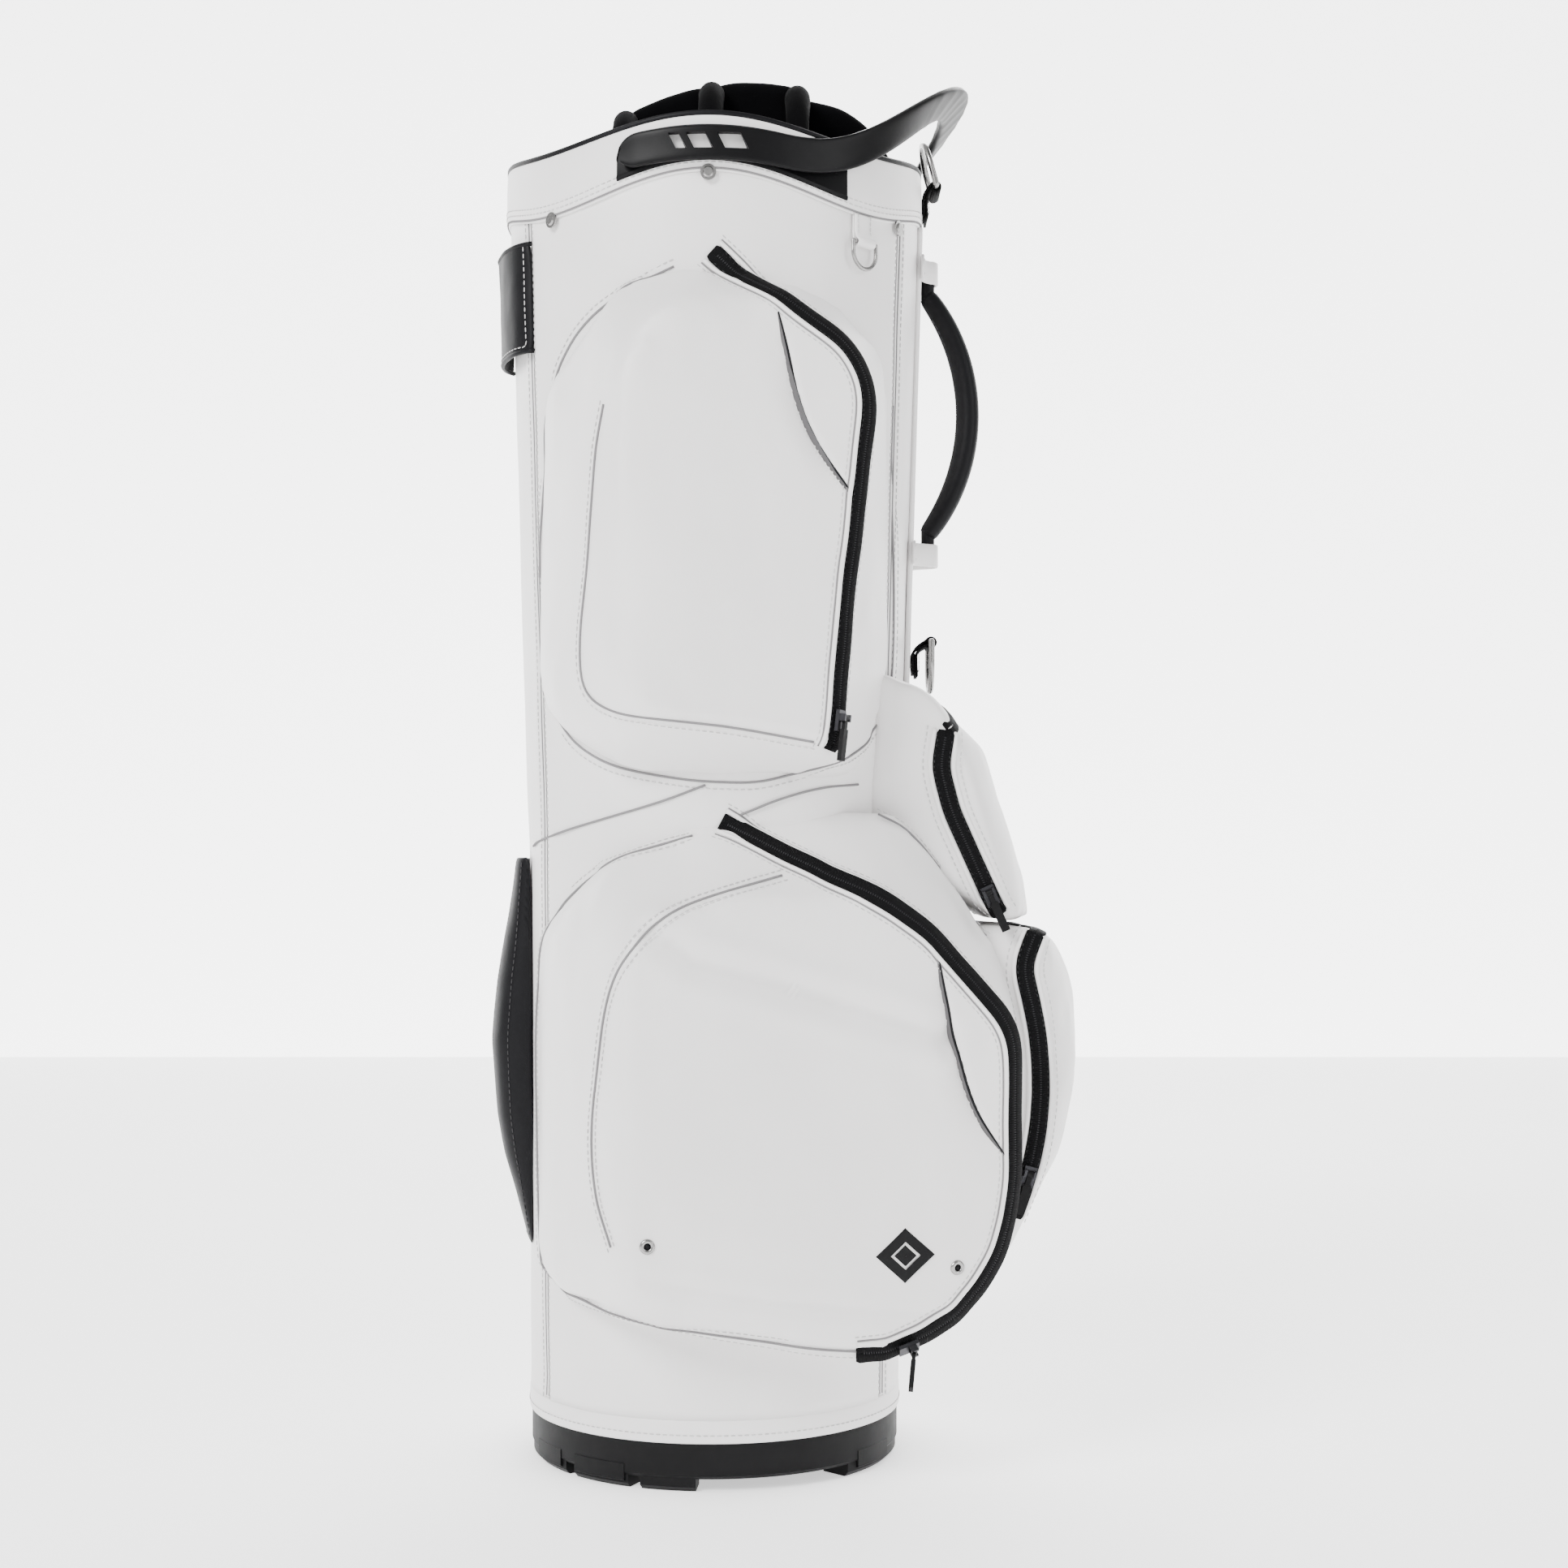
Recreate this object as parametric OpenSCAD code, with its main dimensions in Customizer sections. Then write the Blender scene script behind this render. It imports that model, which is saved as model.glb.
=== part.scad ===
// Golf cart bag with a fourteen-way top. Millimetres, +Z up, +X towards the pockets and the lift handle.
// The origin is the centre of the flat base. "near" is the -Y side and "far" the +Y side.

/* [Body] */
// Outer radius of the moulded base
base_r = 120; // [115:1:125]
// Height of the moulded base
base_h = 30; // [28:1:34]
// Outer radius of the skin at mid height
waist_r = 122; // [121:0.5:124]
// Outer radius of the skin under the collar
shoulder_r = 134; // [132:0.5:135]
// Height of the top of the skin, under the collar band
shoulder_z = 804; // [800:1:806]
// Height of the rim at the bag's sides, front and back
rim_z = 835; // [832:1:838]
// How far the rim dips between them
rim_dip = 12; // [8:1:14]
// Height of the collar seam at the bag's sides, front and back
seam_z = 802; // [799:1:803]
// How far the collar seam dips between them
seam_dip = 17; // [10:1:18]
// Thickness of the foam-backed skin
skin_t = 2.5; // [2:0.1:3]

/* [Side pockets] */
// Turn of the pocket faces towards the front, in degrees
pocket_turn = 15; // [12:1:18]
// Distance of the lower pocket's face from the bag's axis
lower_face = 164; // [158:1:168]
// Distance of the upper pocket's face from the bag's axis
upper_face = 156; // [152:1:160]
// Wall thickness of a pocket
wall = 3; // [2.5:0.1:3.5]
// Width of the bevel that carries the zip
bevel = 7; // [6:0.5:8]

/* [Zips] */
// Width of a zip's tape
tape_w = 9; // [8:0.5:9.5]
// Thickness of a zip's tape
tape_t = 1.2; // [1:0.1:1.4]
// Length of a slider
slider_l = 13; // [11:1:15]
// Length of a pull
pull_l = 26; // [20:1:30]

/* [Handles and rings] */
// Radius of the grab handle's tube
grab_r = 7; // [6:0.5:8]
// Wire radius of a strap ring
ring_wire = 2; // [1.5:0.1:2.5]
// Length of a strap ring from its bar to its crown
strap_ring_l = 31; // [28:1:34]
// Width of a strap ring's bar
strap_ring_w = 38; // [32:1:40]

/* [Hidden] */
$fn = 96;
clear = 0.3;            // gap between parts of different bodies
fit = 0.08;             // radial clearance of a running fit
thin = 0.1;             // thickness of the plates that a hull is stretched over
corner_steps = 7;       // segments of a rounded corner
white = "whitesmoke";
black = "#26262a";
steel = "silver";

// ---------- helpers ----------

function unit(v) = v / norm(v);
function wrap(a) = a > 180 ? a - 360 : a < -180 ? a + 360 : a;

// The arc that rounds corner b of a-b-c with radius r.
function corner(a, b, c, r) =
    let (u = unit(a - b), v = unit(c - b), half = acos(u * v) / 2,
         centre = b + unit(u + v) * r / sin(half),
         s = b + u * r / tan(half) - centre, e = b + v * r / tan(half) - centre,
         start = atan2(s[1], s[0]), sweep = wrap(atan2(e[1], e[0]) - start))
    [for (i = [0:corner_steps]) centre + r * [cos(start + sweep * i / corner_steps),
                                              sin(start + sweep * i / corner_steps)]];

// Centre of the arc that rounds vertex i of an outline.
function corner_centre(v, i) =
    let (n = len(v), a = v[(i + n - 1) % n], b = v[i], c = v[(i + 1) % n],
         u = unit([a[0] - b[0], a[1] - b[1]]), w = unit([c[0] - b[0], c[1] - b[1]]))
    [b[0], b[1]] + unit(u + w) * b[2] / sin(acos(u * w) / 2);

// A closed outline from [x, z, corner radius] vertices.
function rounded(v) = let (n = len(v))
    [for (i = [0:n - 1]) each corner([v[(i + n - 1) % n][0], v[(i + n - 1) % n][1]], [v[i][0], v[i][1]],
                                     [v[(i + 1) % n][0], v[(i + 1) % n][1]], v[i][2])];

function vertex(v, i) = [v[i][0], v[i][1]];

// A flat plate in the XZ plane that reaches from y back to y - t.
module slice(y, t = thin) {
    translate([0, y, 0]) rotate([90, 0, 0]) linear_extrude(t) children();
}

// A strip of width w and thickness t along path. across[i] points across the strip at path[i].
module strip(path, across, w, t) {
    n = len(path);
    function along(i) = unit(path[min(i + 1, n - 1)] - path[max(i - 1, 0)]);
    function up(i) = unit(cross(along(i), across[i]));
    rings = [for (i = [0:n - 1], k = [[-1, -1], [1, -1], [1, 1], [-1, 1]])
        path[i] + unit(across[i]) * k[0] * w / 2 + up(i) * k[1] * t / 2];
    sides = [for (i = [0:n - 2], k = [0:3])
        [4 * i + k, 4 * i + (k + 1) % 4, 4 * i + 4 + (k + 1) % 4, 4 * i + 4 + k]];
    polyhedron(rings, concat(sides, [[3, 2, 1, 0], [for (k = [0:3]) 4 * n - 4 + k]]), convexity = 6);
}

// Puts children, made at the origin with +X along the way, +Y across and +Z out, at p.
module place(p, along, out) {
    x = unit(along);
    z = unit(out - x * (out * x));
    y = cross(z, x);
    multmatrix([[x[0], y[0], z[0], p[0]], [x[1], y[1], z[1], p[1]], [x[2], y[2], z[2], p[2]]]) children();
}

module far() { mirror([0, 1, 0]) children(); }

// ---------- body ----------

function skin_r(z) = lookup(z, [[base_h, base_r + 1], [400, waist_r], [shoulder_z, shoulder_r]]);

// A sector of the skin between two angles and two heights.
module skin(from, to, z0, z1, extra = 0, t = skin_t) {
    rotate([0, 0, from]) rotate_extrude(angle = to - from)
        polygon(concat([for (z = [z0, each (z0 < 400 && z1 > 400) ? [400] : [], z1]) [skin_r(z) + extra, z]],
                       [for (z = [z1, each (z0 < 400 && z1 > 400) ? [400] : [], z0]) [skin_r(z) + extra - t, z]]));
}

// The solid inside the skin's outer face, which everything outside is cut back to.
module core(extra = 0.1) {
    rotate_extrude() polygon([[0, 0], [base_r + 1 + extra, 0], [skin_r(400) + extra, 400],
                              [skin_r(shoulder_z) + extra, shoulder_z], [skin_r(shoulder_z) + extra, 900], [0, 900]]);
}

foot_h = 8;
foot_arcs = [[-44, 44], [94, 111], [115, 136], [140, 220], [224, 245], [249, 266]];
tread_arcs = [[-40, -22], [22, 40], [116, 135], [142, 158], [202, 218], [225, 244]];

module base_cup() {
    color(black) difference() {
        union() {
            rotate_extrude() polygon([[0, foot_h], [base_r - 1.5, foot_h], [base_r, foot_h + 2], [base_r, base_h],
                                      [base_r - 3.4, base_h], [base_r - 3.4, foot_h + 4], [0, foot_h + 4]]);
            for (a = foot_arcs) rotate([0, 0, a[0]]) rotate_extrude(angle = a[1] - a[0])
                polygon([[98, 0], [base_r - 4, 0], [base_r - 1, 3], [base_r - 1, foot_h + 3], [98, foot_h + 3]]);
            for (a = tread_arcs) rotate([0, 0, a[0]]) rotate_extrude(angle = a[1] - a[0])
                polygon([[base_r - 3, 3], [base_r + 0.5, 5], [base_r + 0.5, 15], [base_r - 3, 18]]);
            cylinder(r = 34, h = foot_h + 1);
        }
        for (a = [45:90:315]) rotate([0, 0, a]) translate([70, 0, -1]) cylinder(r = 2.1, h = 20);
    }
}

module base_plate() {
    color("dimgray") difference() {
        translate([0, 0, foot_h + 4]) cylinder(r = base_r - 3.6, h = 4);
        for (a = [45:90:315]) rotate([0, 0, a]) translate([70, 0, 0]) cylinder(r = 2.1, h = 20);
    }
}

module base_screws() {
    color(steel) for (a = [45:90:315]) rotate([0, 0, a]) translate([70, 0, foot_h - 2.5]) {
        cylinder(r = 4.5, h = 2.5);
        cylinder(r = 2, h = 11);
    }
}

tube_t = 1.8;
module inner_tube() {
    r0 = base_r - 3.7;
    r1 = skin_r(45) - skin_t - 0.1;
    r2 = skin_r(400) - skin_t - 0.1;
    r3 = skin_r(788) - skin_t - 0.1;
    color("gray") rotate_extrude() polygon([[r0, 16], [r0, base_h - 1], [r1, 45], [r2, 400], [r3, 788],
        [r3 - tube_t, 788], [r2 - tube_t, 400], [r1 - tube_t, 45], [r0 - tube_t, base_h], [r0 - tube_t, 16]]);
}

module stay_rods() {
    color("goldenrod") for (a = [22, 158, 202, 338]) rotate([0, 0, a]) translate([111, 0, 17])
        rotate([0, 0.5, 0]) cylinder(r = 2.6, h = 771);
}

module bottom_cuff() { color(white) skin(0, 360, base_h, 44, 0.4, 2.9); }

// Angles of the four seams of the skin.
seam_back = 150;
seam_front = 27;
module back_panel() { color(white) skin(seam_back + 0.3, 360 - seam_back - 0.3, 44, shoulder_z); }
module side_panel() { color(white) skin(-seam_back + 0.3, -seam_front - 0.3, 44, shoulder_z); }
module spine_panel() {
    color(white) {
        skin(-seam_front + 0.3, seam_front - 0.3, 44, shoulder_z);
        for (z = spine_pads) skin(-8.2, 8.2, z[0], z[1], 4, 4.2);
    }
}
// Heights of the spine's pads, which leave room for the ends of the grab handle.
spine_pads = [[500, 577], [618, 738], [782, 795]];
// Piping stands proud only where no pocket covers it.
module panel_piping() {
    color("gainsboro") difference() {
        for (a = [seam_back, -seam_back, seam_front, -seam_front]) {
            skin(a - 0.3, a + 0.3, 44, shoulder_z, 0.05, 2);
            skin(a - 0.3, a + 0.3, 44, 83, 0.7, 2);
            skin(a - 0.3, a + 0.3, 740, shoulder_z, 0.7, 2);
        }
        above_wave(seam_z - 0.1, seam_dip);
    }
}

// ---------- collar ----------

collar_in = 124;
band_r = shoulder_r + 1.8;
// Everything above a wavy surface that peaks at top on the bag's four sides and dips between them.
function wave_r(dip) = (pow(band_r * sin(45), 2) + dip * dip) / (2 * dip);
module above_wave(top, dip) {
    for (a = [-45, 45]) rotate([0, 0, a]) translate([0, 0, top - dip + wave_r(dip)]) rotate([0, 90, 0])
        cylinder(r = wave_r(dip), h = 400, center = true, $fn = 180);
}
// Height of the collar seam at angle a.
function seam_at(a) = let (off = band_r * sin(abs(a) % 90 - 45))
    seam_z - seam_dip + wave_r(seam_dip) - sqrt(pow(wave_r(seam_dip), 2) - off * off);

screw_angles = [-109, -73, 73, 109];
screw_z = 813;
module radial(a, r, z, turn = 90) { rotate([0, 0, a]) translate([r, 0, z]) rotate([0, turn, 0]) children(); }
module screw_holes(to) { for (a = screw_angles) radial(a, collar_in - 5, screw_z) cylinder(r = 1.6, h = to - collar_in + 5); }

module collar_ring() {
    color(black) difference() {
        rotate_extrude() polygon([[collar_in, 789], [shoulder_r - skin_t - 0.4, 789],
            [shoulder_r - skin_t - 0.4, shoulder_z], [band_r - 3, shoulder_z + 1], [band_r - 3, rim_z + 1],
            [collar_in, rim_z + 1]]);
        above_wave(rim_z, rim_dip);
        screw_holes(band_r);
    }
}
module collar_band() {
    color(white) difference() {
        intersection() {
            rotate_extrude() polygon([[shoulder_r + 0.1, 780], [band_r, 780], [band_r, rim_z + 1], [band_r - 2.8, rim_z + 1],
                                      [band_r - 2.8, shoulder_z + 0.2], [shoulder_r + 0.1, shoulder_z + 0.2]]);
            above_wave(seam_z, seam_dip);
        }
        above_wave(rim_z, rim_dip);
        screw_holes(band_r + 1);
    }
}
module collar_piping() {
    color(black) difference() {
        intersection() {
            rotate_extrude() translate([band_r - 3.4, 780]) square([3.6, 70]);
            above_wave(rim_z, rim_dip);
        }
        above_wave(rim_z + 2.6, rim_dip);
    }
}
module hood_snaps() {
    color(steel) for (a = [30, 90, 136.5, -136.5, -90, -30]) radial(a, band_r + 0.05, seam_at(a) - 2.4) {
        cylinder(r = 4.8, h = 1);
        translate([0, 0, 1]) cylinder(r1 = 3.4, r2 = 2.6, h = 1);
    }
}

// ---------- lift handle ----------

arm_end = 112;          // angle where each arm ends
handle_z = 812;         // height of the arms' middle
handle_rise = 68;       // rise from the arms to the grip
handle_ramp = 70;       // angle where the rise starts
handle_reach = 16;      // how far the grip stands out beyond the arms
handle_tilt = 45;       // lean of the grip
arm_r = band_r + 5.2;   // radius of the arms' middle
arm_t = 5;

// 1 at the front of the loop, 0 beyond handle_ramp.
function lift(a) = abs(a) < handle_ramp ? 0.5 + 0.5 * cos(180 * a / handle_ramp) : 0;
function handle_centre(a) = (arm_r + handle_reach * lift(a)) * [cos(a), sin(a), 0]
    + [0, 0, handle_z + handle_rise * lift(a) + 4 * cos(4 * a) * (1 - lift(a))];
function handle_up(a) = let (t = handle_tilt * lift(a)) [sin(t) * cos(a), sin(t) * sin(a), cos(t)];
function handle_out(a) = let (t = handle_tilt * lift(a)) [cos(t) * cos(a), cos(t) * sin(a), -sin(t)];
// The loop's section: width across, thickness through, rounded edges.
handle_section = [for (k = [0:11]) let (a = 30 * k + 15) [sign(sin(a)) * pow(abs(sin(a)), 0.6),
                                                          sign(cos(a)) * pow(abs(cos(a)), 0.6)]];
module handle_loop() {
    steps = 56;
    n = len(handle_section);
    points = [for (i = [0:steps]) let (a = -arm_end + 2 * arm_end * i / steps,
                                        w = 10.2 + 2.8 * lift(a), t = arm_t / 2 + 0.8 * lift(a))
        for (s = handle_section) handle_centre(a) + handle_up(a) * s[0] * w + handle_out(a) * s[1] * t];
    sides = [for (i = [0:steps - 1], k = [0:n - 1])
        [n * i + k, n * i + (k + 1) % n, n * (i + 1) + (k + 1) % n, n * (i + 1) + k]];
    polyhedron(points, concat(sides, [[for (k = [n - 1:-1:0]) k], [for (k = [0:n - 1]) n * steps + k]]), convexity = 8);
}

// Middle and width of each arm's windows, along X.
windows = [[-18.5, 6.5], [-5, 11.5], [15, 14]];
window_h = 9.4;
window_lean = 2.4;
module lift_handle() {
    color(black) difference() {
        handle_loop();
        for (w = windows) translate([w[0], 0, handle_z + 5]) rotate([90, 0, 0]) linear_extrude(400, center = true)
            polygon([[-w[1] / 2 + window_lean, -window_h / 2], [w[1] / 2 + window_lean, -window_h / 2],
                     [w[1] / 2 - window_lean, window_h / 2], [-w[1] / 2 - window_lean, window_h / 2]]);
        screw_holes(arm_r + 1);
    }
}

// The frame behind an arm, open behind the windows.
module handle_plate() {
    r = band_r + 0.1;
    difference() {
        intersection() {
            rotate([0, 0, -114]) rotate_extrude(angle = 62) translate([r, 780]) square([2.2, 70]);
            above_wave(seam_z + 4.5, seam_dip);
        }
        above_wave(rim_z - 1, rim_dip);
        rotate([0, 0, -99]) rotate_extrude(angle = 19) translate([r - 1, handle_z - 1]) square([5, 12.5]);
        screw_holes(arm_r);
    }
}
module handle_plates() { color(black) { handle_plate(); far() handle_plate(); } }
module handle_screws() {
    color(steel) for (a = screw_angles) {
        radial(a, collar_in - 1.4, screw_z) cylinder(r = 3, h = 1.3);
        radial(a, collar_in - 0.3, screw_z) cylinder(r = 1.5, h = arm_r - collar_in);
    }
}

// ---------- dividers ----------

row_x = [-54, 0, 54];
short_y = [[-30, 30], [-54, 0, 54], [-54, 0, 54], [-30, 30]];
row_ends = [[-108, -54], [-54, 0], [0, 54], [54, 108]];
sheet_t = 1.6;
rail_t = 9;
dome_z = 822;
dome_h = 58;
dome_x = 25;
// Height of the dome of padded rails.
function dome(x, y) = dome_z + dome_h * cos(90 * (x - dome_x) / (x < dome_x ? 150 : 137))
    * (1 - pow(norm([x, y]) / 126, 6));
// An upright rail from a to b, with its top on the dome.
module rail(a, b) {
    l = norm(b - a);
    steps = 10;
    translate([a[0], a[1], 0]) rotate([90, 0, atan2(b[1] - a[1], b[0] - a[0])]) translate([0, 0, -rail_t / 2])
        linear_extrude(rail_t) polygon(concat([[l, 814], [0, 814]],
            [for (i = [0:steps]) let (p = a + (b - a) * i / steps) [l * i / steps, dome(p[0], p[1])]]));
}
module divider_pads() {
    gap = rail_t / 2 + 0.2;
    color(black) {
        for (x = row_x) let (y = sqrt(pow(collar_in - 0.5, 2) - pow(abs(x) + rail_t / 2, 2))) rail([x, -y], [x, y]);
        for (i = [0:3], y = short_y[i]) let (edge = sqrt(pow(collar_in - 0.5, 2) - pow(abs(y) + rail_t / 2, 2)))
            rail([max(row_ends[i][0] + (i == 0 ? -99 : gap), -edge), y], [min(row_ends[i][1] - (i == 3 ? -99 : gap), edge), y]);
    }
}
// Full-length fabric dividers below the rails.
module divider_sheets() {
    top = 813.5;
    low = 17;
    r = 104;
    color("dimgray") {
        for (x = row_x) let (y = sqrt(r * r - x * x)) translate([x - sheet_t / 2, -y, low]) cube([sheet_t, 2 * y, top - low]);
        for (i = [0:3], y = short_y[i]) let (edge = sqrt(r * r - y * y),
            x0 = max(row_ends[i][0] + sheet_t / 2 + 0.1, -edge), x1 = min(row_ends[i][1] - sheet_t / 2 - 0.1, edge))
            translate([x0, y - sheet_t / 2, low]) cube([x1 - x0, sheet_t, top - low]);
    }
}

// ---------- back ----------

sleeve_mid = -163;      // angle of the umbrella sleeve's middle
sleeve_t = 2;           // thickness of the sleeve and of the umbrella pocket
module umbrella_sleeve() {
    r = skin_r(745);
    wide = 44;
    color(black) rotate([0, 0, sleeve_mid - wide / 2]) difference() {
        rotate_extrude(angle = wide) translate([r - 4, 706]) square([14, 69]);
        core(0.1);
        rotate([0, 0, 3]) rotate_extrude(angle = wide - 6) translate([r - 6, 700]) square([14, 80]);
    }
}
module umbrella_pocket() {
    wide = 34;
    outer = [[base_r, 138], [waist_r + 6, 168], [waist_r + 19, 220], [waist_r + 24, 268], [waist_r + 20, 310],
             [waist_r + 13, 350], [waist_r + 9, 388]];
    color(black) rotate([0, 0, 180 - wide / 2]) difference() {
        rotate_extrude(angle = wide) polygon(concat(outer, [[base_r - 4, 388], [base_r - 4, 138]]));
        core(0.1);
        rotate([0, 0, 4]) rotate_extrude(angle = wide - 8) polygon(concat([[base_r - 4, 150]],
            [for (p = outer) if (p[1] > 150) [p[0] - sleeve_t, p[1] + (p[1] > 380 ? 3 : 0)]], [[base_r - 4, 391]]));
    }
}

// ---------- rings and webbing ----------

// A ring with a straight bar along Y through the origin and its bow towards +X.
module d_ring(w, l, wire) {
    r = w / 2;
    rotate([90, 0, 0]) cylinder(r = wire, h = w, center = true, $fn = 32);
    for (s = [-1, 1]) translate([0, s * r, 0]) {
        sphere(r = wire, $fn = 32);
        rotate([0, 90, 0]) cylinder(r = wire, h = l - r, $fn = 32);
    }
    translate([l - r, 0, 0]) rotate([0, 0, -90]) rotate_extrude(angle = 180) translate([r, 0]) circle(r = wire, $fn = 32);
}

upper_ring = [145, 0, 828];     // bar of the upper strap ring
lower_ring = [142, 0, 529];     // bar of the lower strap ring
upper_lean = 105;               // angle of the upper ring above +X at rest
module strap_ring_upper() { color(steel) translate(upper_ring) rotate([0, -upper_lean, 0]) d_ring(strap_ring_w, strap_ring_l, ring_wire); }
module strap_ring_lower() { color(steel) translate(lower_ring) rotate([0, 90, 0]) d_ring(strap_ring_w, strap_ring_l, ring_wire); }

// Webbing folded round a bar, with its tail sewn to the bag.
module loop(bar, tail_x, tail_drop) {
    w = 26;
    difference() {
        union() {
            translate(bar) rotate([90, 0, 0]) cylinder(r = 4.6, h = w, center = true, $fn = 48);
            translate([tail_x, -w / 2, bar[2] - tail_drop]) cube([2, w, tail_drop + 1.5]);
            translate([tail_x, -w / 2, bar[2] - 2.5]) cube([bar[0] - tail_x, w, 5]);
        }
        translate(bar) rotate([90, 0, 0]) cylinder(r = ring_wire + fit, h = w + 2, center = true, $fn = 48);
    }
}
module strap_loops() {
    color(black) {
        loop(upper_ring, band_r + 0.6, 18);
        loop(lower_ring, skin_r(529) + 4.6, 16);
    }
}

towel_at = -46;                 // angle of the towel ring
towel_r = skin_r(770) + 4.4;    // distance of its bar from the axis
towel_z = 767;
module towel_tab() {
    w = 15;
    color(white) rotate([0, 0, towel_at]) difference() {
        union() {
            translate([skin_r(780) + 0.4, -w / 2, towel_z]) cube([2, w, seam_at(towel_at) - towel_z - 1]);
            translate([towel_r, 0, towel_z]) rotate([90, 0, 0]) cylinder(r = 3, h = w, center = true, $fn = 48);
            translate([skin_r(770) + 1, -w / 2, towel_z - 1.5]) cube([2.5, w, 3]);
        }
        translate([towel_r, 0, towel_z]) rotate([90, 0, 0]) cylinder(r = 1.3 + fit, h = w + 2, center = true, $fn = 48);
    }
}
module towel_ring() {
    color(steel) rotate([0, 0, towel_at]) translate([towel_r, 0, towel_z]) rotate([0, 90, 0]) d_ring(20, 16, 1.3);
}

grab_centre = [37.5, 680];       // centre of the grab handle's arc, [x, z]
grab_bend = 130;                // its radius
grab_half = 37.5;               // half the angle that it spans
grab_x = grab_centre[0] + grab_bend * cos(grab_half);
grab_pin_r = 4.5;               // rolled end of its webbing
function grab_end(s) = grab_centre[1] + s * grab_bend * sin(grab_half);
module grab_handle() {
    color(black) {
        translate([grab_centre[0], 0, grab_centre[1]]) rotate([90, 0, 0]) rotate([0, 0, -grab_half])
            rotate_extrude(angle = 2 * grab_half) translate([grab_bend, 0]) circle(r = grab_r, $fn = 32);
        for (s = [-1, 1]) translate([grab_x, 0, grab_end(s) + s * 6.5]) cylinder(r = grab_pin_r, h = 20, center = true);
    }
}
module handle_anchors() {
    color(black) for (s = [-1, 1]) difference() {
        z = grab_end(s) + s * 14;
        back = skin_r(z) - 2;
        translate([back, -11, z - 7]) cube([grab_x - back + 7, 22, 14]);
        translate([grab_x, 0, grab_end(s)]) cylinder(r = grab_pin_r + fit, h = 60, center = true);
        core(0.1);
    }
}

// ---------- side pockets ----------

// Outlines in the pocket's own frame, [x, z, corner radius]. The frame is turned by pocket_turn.
// flat is the pocket's face, mid its section at mid_y and base its foot on the skin.
lower_flat = [[-96, 116, 40], [-8, 101, 60], [40, 85.5, 30], [153, 85, 103], [153, 285, 50], [96, 344, 50], [58, 369, 30],
              [-30, 369, 40], [-96, 346, 40]];
lower_mid = [[-112, 108, 40], [0, 98, 40], [50, 88, 20], [166, 90, 90], [167, 300, 40], [151, 346, 30], [92, 416, 15],
             [-26, 413, 6], [-104, 382, 50]];
lower_base = [[-121, 112, 30], [60, 94, 20], [60, 396, 20], [-85, 388, 30], [-121, 345, 40]];
lower_mid_y = 110;
lower_tip = [-26, 409];         // where the zip starts, on the skin
upper_flat = [[-96, 466, 40], [39.5, 447, 4], [67, 688, 55], [4, 726, 30], [-66, 722, 40], [-96, 676, 50]];
upper_mid = [[-104, 444, 40], [-20, 431, 20], [64, 437, 10], [80, 700, 40], [44, 748, 15], [-36, 757, 6], [-104, 724, 50]];
upper_base = [[-122, 446, 55], [98, 448, 30], [98, 735, 40], [-122, 716, 60]];
upper_mid_y = 108;
upper_tip = [-34, 753];

// The pocket's outer form, shrunk by inset all round.
module pocket_form(flat, mid, base, face, mid_y, inset = 0) {
    hull() {
        slice(-face + inset + thin) offset(delta = -inset - bevel) polygon(rounded(flat));
        slice(-face + 22, 22 - bevel - inset * 0.4) offset(delta = -inset) polygon(rounded(flat));
        slice(-mid_y, 4) offset(delta = -inset) polygon(rounded(mid));
        slice(-16, 60) offset(delta = -inset) polygon(rounded(base));
    }
}
module pocket_shell(flat, mid, base, face, mid_y) {
    difference() {
        pocket_form(flat, mid, base, face, mid_y);
        pocket_form(flat, mid, base, face, mid_y, wall);
        slice(0, 16.5) translate([-200, 0]) square([500, 900]);
    }
}
// What belongs to the panel: the face inside the zip and everything behind gusset_x or below the zip's run to its tip.
gusset_x = -20;
module panel_zone(flat, face, corner_at, tip) {
    slice(-face + wall + 0.6, 20) offset(delta = -bevel / 2) polygon(rounded(flat));
    slice(0, 250) polygon([[-250, 0], [gusset_x, 0], [gusset_x, corner_at[1] - 4], corner_at, [tip[0], tip[1]], [tip[0], 900], [-250, 900]]);
}
side_cut = 73.6;        // half the width that the front pockets and their tapes take up
// Turns a piece into place on the near side, and cuts it back to the skin and the front pockets.
module on_side() {
    difference() {
        rotate([0, 0, pocket_turn]) children();
        core(0.15);
        translate([90, -side_cut, 0]) cube([300, 2 * side_cut, 510]);
    }
}
module lower_shell() {
    difference() {
        pocket_shell(lower_flat, lower_mid, lower_base, lower_face, lower_mid_y);
        zip(lower_run, lower_face, lower_end, 0.4);
    }
}
module upper_shell() {
    difference() {
        pocket_shell(upper_flat, upper_mid, upper_base, upper_face, upper_mid_y);
        zip(upper_run, upper_face, upper_end, 0.4);
    }
}
module lower_zone() { panel_zone(lower_flat, lower_face, [58, 369], lower_tip); }
module upper_zone() { panel_zone(upper_flat, upper_face, [58, 700], upper_tip); }
module lower_gusset() {
    color(white) on_side() difference() {
        lower_shell();
        lower_zone();
    }
}
module lower_panel() {
    color(white) on_side() intersection() {
        lower_shell();
        lower_zone();
    }
}
module upper_gusset() {
    color(white) on_side() difference() {
        upper_shell();
        upper_zone();
    }
}
module upper_panel() {
    color(white) on_side() intersection() {
        upper_shell();
        upper_zone();
    }
}

// ---------- zips ----------

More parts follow.
